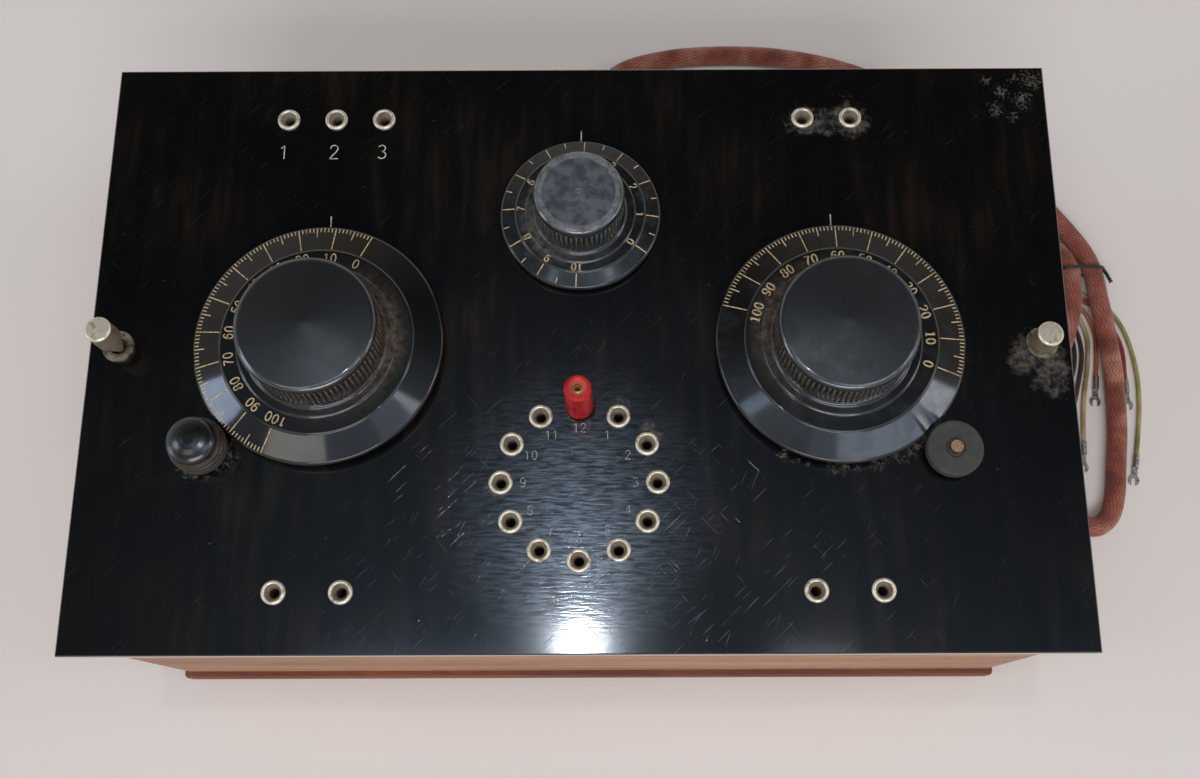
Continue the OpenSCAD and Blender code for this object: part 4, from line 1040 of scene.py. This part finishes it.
# Index lines and socket numbers
# Engraved lines filled with pale paint. They stand over each dial, and the aerial sockets have
# the numbers 1 to 3. The numbers inside the ring of sockets are worn until they hardly show.
index_lines = [((-104.7, 51.5), (-104.7, 56.3)), ((104.7, 51.5), (104.7, 56.3)),
               ((0, 89.9), (0, 95.4))]
index_pen = 0.5
aerial_numbers = (("1", -126.7), ("2", -105.3), ("3", -84.9))
aerial_number_y = 86
aerial_number_height = 6.2
aerial_pen = 0.45
ring_number_r = 22.3
ring_number_height = 3.6
ring_pen = 0.26

# The digits are one wide and 1.6 high.
bowl = [(0.5 + 0.42 * math.cos(a * math.pi / 8), 0.8 + 0.8 * math.sin(a * math.pi / 8))
        for a in range(17)]
six = [(0.84, 1.42), (0.58, 1.6), (0.3, 1.46), (0.12, 1.0), (0.1, 0.5), (0.24, 0.12), (0.5, 0),
       (0.78, 0.12), (0.9, 0.48), (0.78, 0.84), (0.5, 0.96), (0.24, 0.84), (0.12, 0.6)]
digit_strokes = {
    "0": [bowl],
    "1": [[(0.2, 1.25), (0.55, 1.6)], [(0.55, 1.6), (0.55, 0)]],
    "2": [[(0.08, 1.2), (0.2, 1.47), (0.5, 1.6), (0.8, 1.47), (0.9, 1.2), (0.72, 0.8),
           (0.36, 0.4), (0.06, 0)], [(0.06, 0), (0.94, 0)]],
    "3": [[(0.12, 1.4), (0.46, 1.6), (0.8, 1.44), (0.84, 1.14), (0.68, 0.9), (0.4, 0.84)],
          [(0.4, 0.84), (0.74, 0.76), (0.92, 0.46), (0.8, 0.14), (0.46, 0), (0.08, 0.18)]],
    "4": [[(0.72, 1.6), (0.04, 0.46)], [(0.04, 0.46), (0.98, 0.46)], [(0.72, 1.6), (0.72, 0)]],
    "5": [[(0.85, 1.6), (0.2, 1.6)], [(0.2, 1.6), (0.14, 0.88)],
          [(0.14, 0.88), (0.45, 1.02), (0.78, 0.9), (0.92, 0.5), (0.78, 0.14), (0.44, 0),
           (0.08, 0.16)]],
    "6": [six],
    "7": [[(0.06, 1.6), (0.94, 1.6)], [(0.94, 1.6), (0.56, 0.8), (0.4, 0)]],
    "8": [[(0.5 + 0.35 * math.cos(a * math.pi / 6), 1.23 + 0.37 * math.sin(a * math.pi / 6))
           for a in range(13)],
          [(0.5 + 0.43 * math.cos(a * math.pi / 6), 0.43 + 0.43 * math.sin(a * math.pi / 6))
           for a in range(13)]],
    "9": [[(1 - x, 1.6 - y) for x, y in six]],
}


def ribbon(path, widths, lift=0.02, depth=0.05):
    """A flat strip of paint along a path, a little proud of the surface under it."""
    points, faces = [], []
    for i, here in enumerate(path):
        before, after = path[max(i - 1, 0)], path[min(i + 1, len(path) - 1)]
        dx, dy = after[0] - before[0], after[1] - before[1]
        reach = widths[i] / 2 / max(math.hypot(dx, dy), 1e-9)
        for side, up in ((1, lift), (-1, lift), (-1, -depth), (1, -depth)):
            points.append((here[0] - side * dy * reach, here[1] + side * dx * reach,
                           here[2] + up))
        if i:
            a = 4 * (i - 1)
            faces += [(a + k, a + (k + 1) % 4, a + 4 + (k + 1) % 4, a + 4 + k) for k in range(4)]
    last = 4 * (len(path) - 1)
    return points, faces + [(3, 2, 1, 0), (last, last + 1, last + 2, last + 3)]


def number(text, height, thin, thick, place):
    """The strokes of a number; place puts a point of the flat number on the object."""
    unit = height / 1.6
    step = 1.3 * unit      # from one digit to the next
    strips = []
    for i, digit in enumerate(text):
        left = (i - len(text) / 2) * step + 0.15 * unit
        strokes = digit_strokes[digit]
        if digit == "1" and thick > thin:
            strokes = strokes + [[(0.2, 0), (0.9, 0)]]
        for stroke in strokes:
            flat = smooth_route([(left + x * unit, (y - 0.8) * unit) for x, y in stroke], 5)
            widths = []
            for k in range(len(flat)):
                a, b = flat[max(k - 1, 0)], flat[min(k + 1, len(flat) - 1)]
                rise = abs(b[1] - a[1]) / max(math.dist(a, b), 1e-9)
                widths.append(thin + (thick - thin) * rise)
            strips.append(ribbon([place(*p) for p in flat], widths))
    return joined(*strips)


def line_fill(tone, dark):
    """Paint in an engraved line: dull, and darker where dirt sits in it."""
    def look(tree, place):
        grime = add(tree, "ShaderNodeTexNoise", {"Vector": place, "Scale": marks(2),
                                                 "Detail": 4})
        return {"Base Color": add(tree, "ShaderNodeValToRGB", {"Fac": grime},
                                  stops=((0.35, dark), (0.55, tone)))}
    return look


def on_panel(x, y):
    """Puts the points of a flat number round a place on the panel."""
    return lambda u, v: (x + u, y + v, panel_top)


# The engraver rubbed the lines full of paint, which is matt and yellowed.
index_paint = finish("pale_line_paint", line_fill("#c9c0aa", "#8d8471"), Roughness=0.7)
panel_marks = [ribbon([(*a, panel_top), (*b, panel_top)], (index_pen, index_pen))
               for a, b in index_lines]
for digit, x in aerial_numbers:
    panel_marks.append(number(digit, aerial_number_height, aerial_pen, aerial_pen,
                              on_panel(x, aerial_number_y)))
piece("panel_index_lines", joined(*panel_marks), index_paint, "panel")
# Years of plugging have left a thin grey trace of the paint.
worn_paint = finish("worn_line_paint", line_fill("#aeaaa0", "#56524a"), Roughness=0.6)
ring_marks = [number(str(hour), ring_number_height, ring_pen, ring_pen,
                     on_panel(*round_about(ring_centre, ring_number_r, 90 - 30 * hour)))
              for hour in range(1, 13)]
piece("panel_ring_numbers", joined(*ring_marks), worn_paint, "panel")

# Sockets
# Turned and nickelled sockets for 4 mm plugs, with a flange that is dished towards the hole. The
# nickel is worn, and brown dirt sits in the funnel.
socket_outline = [(3.45, -9), (3.45, -18), (2.05, -18), (2.05, -1.5), (2.5, -0.6), (3.2, 0.8),
                  (3.5, 1.2), (3.95, 1.3), (4.4, 1.15), (4.75, 0.75), (4.85, 0.3), (4.85, 0),
                  (3.45, 0)]
funnel_r = 3.3
ring_r = 31.1
tap_places = [round_about(ring_centre, ring_r, 90 - 30 * hour) for hour in range(12)]
socket_places = {
    "aerial": [(-125.4, 101), (-105, 101), (-84.6, 101)],
    "earth": [(94.8, 101), (115.2, 101)],
    "phone": [(side * 105 + half, -101) for side in (-1, 1) for half in (-13, 13)],
    "tap": tap_places,
}


def weather(made, share, name="dust_and_painted_light"):
    """Stores for the material how dusty or handled each point is, or its painted light, 0 to 1."""
    store = made.data.attributes.new(name, "FLOAT", "POINT").data
    store.foreach_set("value", [share(*[v / MM for v in p.co]) for p in made.data.vertices])
    return made


def worn_nickel(tree, place):
    """Nickel plate: warm grey and smooth, browned by dirt and by painted shade."""
    age = add(tree, "ShaderNodeTexNoise", {"Vector": place, "Scale": marks(3.03), "Detail": 6,
                                           "Roughness": 0.62})
    dust_and_painted_light = add(tree, "ShaderNodeAttribute", {}, out="Fac", attribute_name="dust_and_painted_light")
    tint = add(tree, "ShaderNodeValToRGB", {"Fac": age},
               stops=((0.34, "#9a8d76"), (0.46, "#dccfb8"), (0.68, "#f0e6d2")))
    shown = add(tree, "ShaderNodeMix", {"Factor": dust_and_painted_light, 6: tint, 7: linear("#54432a")}, out=2,
                data_type="RGBA")
    rough = add(tree, "ShaderNodeMapRange", {"Value": age, "From Min": 0.35, "From Max": 0.65,
                                             "To Min": 0.5, "To Max": 0.3})
    dull = add(tree, "ShaderNodeMath", {0: rough, 1: dust_and_painted_light}, operation="MAXIMUM")
    bare = add(tree, "ShaderNodeMath", {0: dust_and_painted_light, 1: -0.8, 2: 0.8}, operation="MULTIPLY_ADD")
    return {"Base Color": shown, "Roughness": dull, "Metallic": bare}


# Plate on turned brass is smooth and bright, and goes brown and dull where dirt lies in it and
# where shade is painted on the thumbscrews' sides.
nickel = finish("turned_nickel_plate", worn_nickel)
for row, places in socket_places.items():
    made = piece(f"{row}_turned_sockets",
                 joined(*[lathe(eased(socket_outline, 0.15, 2), (x, y, panel_top), 48)
                          for x, y in places]), nickel, "panel", 40,
                 [f"{row}_sockets"])

    def funnel_dirt(x, y, z, places=places):
        inside = min(math.dist((x, y), middle) for middle in places) < funnel_r
        return 0.8 if inside and z < panel_top + 1 else 0.0
    weather(made, funnel_dirt)
dress(turned_brass, "socket_nuts")

# Tapped coil under the ring
# Green cotton-covered wire wound in one layer on an ebonite former, with soldered taps.
coil_r = 21.9              # to the middle of the wire
coil_top = 135.1
coil_turns = 20
coil_turn_pitch = 2.2425
coil_wire_r = 0.9
coil_points = 48           # points of the path in each turn
helix = []
for k in range(coil_turns * coil_points + 1):
    x, y = round_about(ring_centre, coil_r, 360 * k / coil_points)
    helix.append((x, y, coil_top - coil_turn_pitch * k / coil_points))
# The cotton cover makes the coil a dull green, with a fine thread.
green_wire = finish("green_cotton_covered_wire", covered_wire("#46603b", "#2c4026", "#6b8259"),
                    Roughness=0.9)
piece("coil_wire_helix", swept(helix, lambda turn, length: coil_wire_r, 8), green_wire, "panel",
      60, ["coil_winding"])
dress(sawn_ebonite, "coil_former")

# Variable condensers
# Stamped brass vanes between end plates of pressed fibre. The fixed vanes are held by the plates,
# and the rotors turn with the dials.
# Pressed paper sheet is half matt and brown, with its fine fibre in it.
dress(finish("pressed_fibre", covered_wire("#5a3c2a", "#3f2a1e", "#73523c"), Roughness=0.6),
      "station_frame", "volume_frame")
dress(turned_brass, "station_stator", "volume_stator", "station_rotor", "volume_rotor")

# Shaft bushes and filament resistance
# Turned bushes carry the shafts. Resistance wire is wound round an ebonite ring under the panel,
# and a brass wiper on the filament dial's shaft runs on it.
winding_at = (0, 55)
winding_z = 134.3
winding_r = 18.5
winding_turns = 120
winding_points = 12        # points of the path in each turn
former_half = (1.95, 4.8)  # half the former's wall and height, where the wire lies flat on it
wire_swing = (3, 7)        # how far the wire's circle would reach without the former
resistance_wire_r = 0.4
# The bushes' plate has worn dull, with dark spots.
dress(finish("dull_plated_brass", aged_metal("#c4b9a2", "#8d8370", "#4a4234", 2, 0.35, 0.55),
             Metallic=1.0), "panel_bushes")
winding_path = []
for k in range(winding_turns * winding_points):
    wind = 2 * math.pi * k / winding_points
    out, up = [max(-half, min(half, swing * part)) for half, swing, part in
               zip(former_half, wire_swing, (math.cos(wind), math.sin(wind)))]
    x, y = round_about(winding_at, winding_r + out, 360 * k / (winding_turns * winding_points))
    winding_path.append((x, y, winding_z + up))
# Drawn wire that has run hot is grey with a brown oxide.
resistance_wire = finish("oxidised_resistance_wire",
                         aged_metal("#9a958c", "#6f6a64", "#4a4038", 3, 0.3, 0.55), Metallic=1.0)
piece("filament_resistance_wire", swept(winding_path, lambda turn, length: resistance_wire_r, 6),
      resistance_wire, "panel", 60, ["rheostat_winding"])
dress(sawn_ebonite, "rheostat_former")
dress(turned_brass, "rheostat_wiper")

# Large dials
# Moulded black bakelite: a bevelled skirt with the scale, a flat ring with the numbers and a
# fluted grip under a smooth cap. The volume dial's rim is worn to a scallop by its rubber wheel.
DialForm = namedtuple("DialForm", "r rim ring ring_top grip top")     # radii and heights
large_form = DialForm(r=50.2, rim=8, ring=38.9, ring_top=11, grip=27.4, top=33)
large_flutes = 80
hundred_step = 1.8         # degrees from one line to the next
hundred = [(n, str(n)) for n in range(0, 101, 10)]
hundred_middle = 35.4      # radius of the numbers' middle
hundred_height = 3.7
scale_line = 0.42
scallop_r = 13
large_dials = (                 # centre, degrees of its 0 and of its dust, and its numbers' pens
    ("station", station_centre, 66.6, 5, (0.5, 0.5)),
    ("volume", volume_centre, -18, 150, (0.3, 0.68)),
)


def dial_shape(centre, form, flutes, dimple=()):
    """Skirt and fluted grip of a dial; dimple is the outline of a hollow in its cap."""
    r, rim, ring, ring_top, grip, top = form
    skirt = [(0, 1.8), (11, 1.8), (11, ring_top - 3.2), (ring - 3.2, ring_top - 3.2),
             (r - 2, rim - 2.6), (r - 0.6, rim - 2.6), (r, rim - 2), (r, rim - 0.6),
             (r - 0.6, rim), (ring, ring_top - 0.5), (ring - 0.4, ring_top),
             (grip + 4.8, ring_top), (grip + 4.3, ring_top + 0.4), (grip + 1.4, ring_top + 0.5),
             (grip + 0.5, ring_top + 1.2), (grip - 1.5, ring_top + 1.6), (0, ring_top + 1.6)]
    edge = top if dimple else top - 0.9
    cap = [(0, ring_top + 1), (grip, ring_top + 1), (grip, top - 4.2), (grip + 0.3, top - 4),
           (grip + 0.35, edge - 1.7), (grip, edge - 0.9), (grip - 0.8, edge - 0.25),
           (grip - 1.7, edge), *(dimple or [(grip / 2, top + 0.15), (1.5, top + 1.1)]),
           (0, top + (0.2 if dimple else 1.2))]

    def wave(turn, z):
        ridge = math.tanh(2.5 * math.cos(2 * math.pi * flutes * turn))
        return 0.38 * (ridge - 1) if z < top - 4.1 else 0
    middle = (*centre, panel_top)
    return joined(lathe(eased(skirt, 0.3), middle, 360),
                  lathe(eased(cap, 0.35), middle, flutes * 8, wave))


def dial_dust(centre, form, side):
    """Dust in the flutes and beside the grip; side is where most of it lies, in degrees."""
    def share(x, y, z):
        out, up = math.dist((x, y), centre), z - panel_top
        if form.ring_top + 1.7 < up < form.top - 4.1 and out < form.grip + 0.05:
            return max(0.0, 1 - (form.grip - out) * 2)
        lee = 0.5 + 0.5 * math.cos(math.atan2(y - centre[1], x - centre[0]) - math.radians(side))
        near = max(0.0, 1 - abs(out - form.grip - 3) / 6)
        return 0.45 * lee ** 3 * near if -0.2 < up - form.ring_top < 1.5 else 0.0
    return share


def cap_of(centre, form):
    """The cap of a dial, which hands have rubbed."""
    def share(x, y, z):
        inside = math.dist((x, y), centre) < form.grip - 0.5
        return 1.0 if inside and z > panel_top + form.top - 1.6 else 0.0
    return share


def dial_marks(centre, form, zero, step, count, length, words, middle, size, pens):
    """Scale lines and numbers of a dial; angles are in degrees and sizes in millimetres."""
    bevel_top, bevel_out = form.ring_top - 0.5, form.r - 0.6
    strips = []

    def surface(out):
        if out < form.ring - 0.3:
            return panel_top + form.ring_top
        fall = (bevel_out - out) / (bevel_out - form.ring)
        return panel_top + form.rim + (bevel_top - form.rim) * fall

    for n in range(count + 1):
        line = [(*round_about(centre, out, zero + step * n), surface(out))
                for out in (length(n), form.r - 0.8)]
        strips.append(ribbon(line, (scale_line, scale_line)))
    for n, text in words:
        turn = math.radians(zero + step * n)

        def place(x, y, turn=turn):
            return (centre[0] + (middle + y) * math.cos(turn) + x * math.sin(turn),
                    centre[1] + (middle + y) * math.sin(turn) - x * math.cos(turn),
                    panel_top + form.ring_top)
        strips.append(number(text, size, *pens, place))
    return joined(*strips)


def hundred_line(n):
    """Where a line of the large dials starts: tens run to the ring, and fives are longer."""
    return 39.4 if n % 10 == 0 else 45.2 if n % 5 == 0 else 47.6


def scalloped(points, centre, r):
    """The points moved out of a circle of radius r round a centre."""
    for x, y, z in points:
        near = math.dist((x, y), centre)
        grow = max(r / near, 1)
        yield centre[0] + (x - centre[0]) * grow, centre[1] + (y - centre[1]) * grow, z


# Bakelite from a polished mould is glossy black, with clouds of handling in its gloss.
black_bakelite = finish("moulded_black_bakelite",
                        moulded("#090909", "#0e0f10", "#998570", 0.8, 0.36, 18, "#0f1113"),
                        IOR=1.6, Coat_Roughness=0.07)
# The volume dial is the same and more scuffed.
scuffed_bakelite = finish("scuffed_black_bakelite",
                          moulded("#0a0a0a", "#1c1f22", "#958470", 0.6, 0.4, 9, "#16181b"),
                          IOR=1.6, Coat_Roughness=0.08)
# Paint rubbed into the moulded lines has gone a matt cream.
scale_paint = finish("cream_scale_paint", line_fill("#cdb285", "#967e56"), Roughness=0.65)
for dial, centre, zero, dusty_side, pens in large_dials:
    points, faces = dial_shape(centre, large_form, large_flutes)
    if dial == "volume":
        points = list(scalloped(points, volume_drive_centre, scallop_r))
    made = piece(f"{dial}_moulded_dial", (points, faces),
                 scuffed_bakelite if dial == "volume" else black_bakelite, dial, 30,
                 [f"{dial}_dial"])
    weather(made, dial_dust(centre, large_form, dusty_side))
    weather(made, cap_of(centre, large_form), "handled")
    piece(f"{dial}_scale",
          dial_marks(centre, large_form, zero, hundred_step, 100, hundred_line, hundred,
                     hundred_middle, hundred_height, pens), scale_paint, dial)

# Filament dial
# A smaller dial of the same moulding, with ten divisions. A small dimple is in its cap, and the
# cap's edge is worn pale.
small_form = DialForm(r=33.3, rim=5, ring=27, ring_top=7, grip=18.2, top=26.4)
small_centre = (0, 55)
small_flutes = 54
small_dimple = [(15, 26.42), (14.2, 26.45), (1.1, 26.6), (0.9, 26.4), (0.8, 25.8)]
small_zero = -33
small_step = 15
small_middle = 24.6
small_height = 3.1
small_pens = (0.3, 0.6)
worn_edge = (14.8, 16.8)

# Skin oil and light have turned its gloss grey.
greyed_bakelite = finish("greyed_black_bakelite",
                         moulded("#0e0f10", "#24272a", "#8d8a80", 0.45, 0.45, 5, "#54585d"),
                         IOR=1.6, Coat_Roughness=0.12)
made = piece("filament_moulded_dial",
             dial_shape(small_centre, small_form, small_flutes, small_dimple),
             greyed_bakelite, "rheostat", 30, ["filament_dial"])


def small_dust(x, y, z):
    """The dust of a dial, and pale wear round the edge of its cap."""
    if z > panel_top + small_form.top - 1.2:
        return 0.6 if worn_edge[0] < math.dist((x, y), small_centre) < worn_edge[1] else 0.0
    return dial_dust(small_centre, small_form, 200)(x, y, z)


def ten_line(n):
    """Where a line of the filament dial starts: those with a number are longer."""
    return 30 if n % 2 else 27.4


weather(made, small_dust)
weather(made, cap_of(small_centre, small_form), "handled")
piece("filament_scale",
      dial_marks(small_centre, small_form, small_zero, small_step, 20, ten_line,
                 [(2 * n, str(n)) for n in range(11)], small_middle, small_height, small_pens),
      scale_paint, "rheostat")

# Friction drives
# A rubber wheel turns each large dial by its rim. The left one keeps its domed knob; the right
# one has lost it, so the copper-coloured end of the spindle shows.
drive_centres = {"station": station_drive_centre, "volume": volume_drive_centre}
knob_outline = [(0, 8.2), (11, 8.2), (11, 9.6), (10.4, 10), (10.4, 11.2), (9.2, 11.6),
                (9.2, 13.9), (9.6, 14.3), (9.6, 15.7)]
knob_outline += [(8.6 * math.cos(math.radians(a)) + 0.9 * (1 - math.sin(math.radians(a))),
                  16 + 2.5 * math.sin(math.radians(a))) for a in range(15, 90, 15)]
knob_outline += [(0, 18.5)]
wheel_outline = [(2.5, 5.5), (2.5, 3.2), (10.6, 3.2), (11.2, 3.8), (11.2, 7.6), (10.6, 8.2),
                 (3.9, 8.2), (3.6, 7.6), (2.5, 7.6)]
knob_clean = 12            # height over the panel where the knob's clean dome starts

# Fingers have worn the moulded gloss of the knob to a satin, so lights show soft in it.
satin_bakelite = finish("satin_black_bakelite",
                        moulded("#0a0a0a", "#111214", "#8f7c68", 0.75, 0.4, 12), IOR=1.6,
                        Coat_Roughness=0.2)
made = piece("station_domed_knob",
             lathe(eased(knob_outline, 0.25), (*station_drive_centre, panel_top), 96),
             satin_bakelite, "station_drive", 30, ["drive_knob"])
weather(made, lambda x, y, z: 0.25 if z < panel_top + knob_clean else 0.0)


def old_rubber(tree, place):
    """Hardened rubber: matt grey with a fine bloom and small cracks."""
    bloom = add(tree, "ShaderNodeTexNoise", {"Vector": place, "Scale": marks(3.33),
                                             "Detail": 6})
    crack = add(tree, "ShaderNodeTexNoise", {"Vector": place, "Scale": marks(0.556),
                                             "Detail": 2})
    tint = add(tree, "ShaderNodeValToRGB", {"Fac": bloom},
               stops=((0.3, "#343330"), (0.5, "#3a3935"), (0.75, "#43413c")))
    bump = add(tree, "ShaderNodeBump", {"Height": crack, "Strength": 0.3,
                                        "Distance": 0.1 * MM})
    return {"Base Color": tint, "Normal": bump}


# Moulded rubber that has gone hard has no gloss left.
rubber = finish("hardened_rubber", old_rubber, Roughness=0.8)
for drive, centre in drive_centres.items():
    piece(f"{drive}_rubber_wheel", lathe(eased(wheel_outline, 0.3), (*centre, panel_top), 96),
          rubber, f"{drive}_drive", 35, [f"{drive}_wheel"])
# The spindles are turned from a copper alloy, bright at the end where the knob sat.
copper = finish("turned_copper_alloy", aged_metal("#dcb490", "#b98c68", "#6d4c38", 2, 0.28, 0.5),
                Metallic=1.0)
dress(copper, "station_spindle", "volume_spindle")

# Thumbscrews
# Turned and nickelled screws hold the panel to the box. The left one is unscrewed by 10 mm. Their
# sides carry painted shade and some dirt, and their tops are left bright.
screw_outline = [(0, -25.2), (1.6, -25.2), (2, -24.6), (2, -7.1), (3.2, -7.1), (3.2, 0.05),
                 (4.7, 0.05), (5.2, 0.5), (5.2, 11.3), (4.6, 11.9), (0, 12)]
screw_shade_end = 11.2         # height over the head's foot where the sides' painted shade ends
screw_rest = panel_top + 1.2
screws = (("left", -188, 10), ("right", 188, 0))    # place along the panel, and how far it is out
screw_y = -1
for side, x, out in screws:
    foot = screw_rest + out
    made = piece(f"{side}_turned_screw", lathe(eased(screw_outline, 0.25), (x, screw_y, foot), 64),
                 nickel, f"{side}_screw", 35, [f"{side}_thumbscrew"])
    # Painted shade and some dirt: below the top, the sides take a strong weight that browns and
    # dulls them.
    weather(made, lambda x, y, z, foot=foot: 0.88 if z < foot + screw_shade_end else 0.0)

# Red plug
# A turned red casein handle on a brass pin, in the first socket of the ring. Its dished top is
# pink, partly worn and partly painted light, and the end of the pin shows in it.
plug_at = (*tap_places[0], panel_top + 1.3)
plug_outline = [(1.9, 12), (1.9, 0), (5.4, 0), (5.7, 0.4), (5.35, 25.2), (4.7, 26), (3.7, 26),
                (3.1, 24.4), (1.9, 24.4)]
pin_outline = [(0, -15), (1.4, -15), (2, -14.2), (2, 0), (1.9, 0.2), (1.9, 24.3), (1.1, 24.4),
               (1.1, 18.5), (0, 18.4)]
dish_r = 3.75


def red_casein(tree, place):
    """Red casein: satin, darker in its mottles, pink where worn and where light is painted."""
    mottle = add(tree, "ShaderNodeTexNoise", {"Vector": place, "Scale": marks(6.25),
                                              "Detail": 5})
    dust_and_painted_light = add(tree, "ShaderNodeAttribute", {}, out="Fac", attribute_name="dust_and_painted_light")
    tint = add(tree, "ShaderNodeValToRGB", {"Fac": mottle},
               stops=((0.36, "#94070b"), (0.52, "#b40a10"), (0.7, "#c4191b")))
    # Painted light with wear: the top's weight mixes the pale pink into the red.
    wear = add(tree, "ShaderNodeMath", {0: mottle, 1: dust_and_painted_light}, operation="MULTIPLY")
    shown = add(tree, "ShaderNodeMix", {"Factor": wear, 6: tint, 7: linear("#c47a6c")}, out=2,
                data_type="RGBA")
    rough = add(tree, "ShaderNodeMapRange", {"Value": dust_and_painted_light, "To Min": 0.2, "To Max": 0.26})
    return {"Base Color": shown, "Roughness": rough}


def plug_wear(x, y, z):
    """The plug's top, worn and painted with light: most in its dish, less on its rim."""
    if z < panel_top + 25:
        return 0.0
    return 0.8 if math.dist((x, y), plug_at[:2]) < dish_r else 0.2


# Turned and polished casein is a deep satin red.
casein = finish("red_casein_turned", red_casein, Specular_IOR_Level=0.1)
made = piece("plug_turned_handle", lathe(eased(plug_outline, 0.3), plug_at, 64), casein,
             "tap_plug", 35, ["plug_handle"])
weather(made, plug_wear)
piece("plug_turned_pin", lathe(eased(pin_outline, 0.2), plug_at, 40), turned_brass, "tap_plug",
      35, ["plug_pin"])
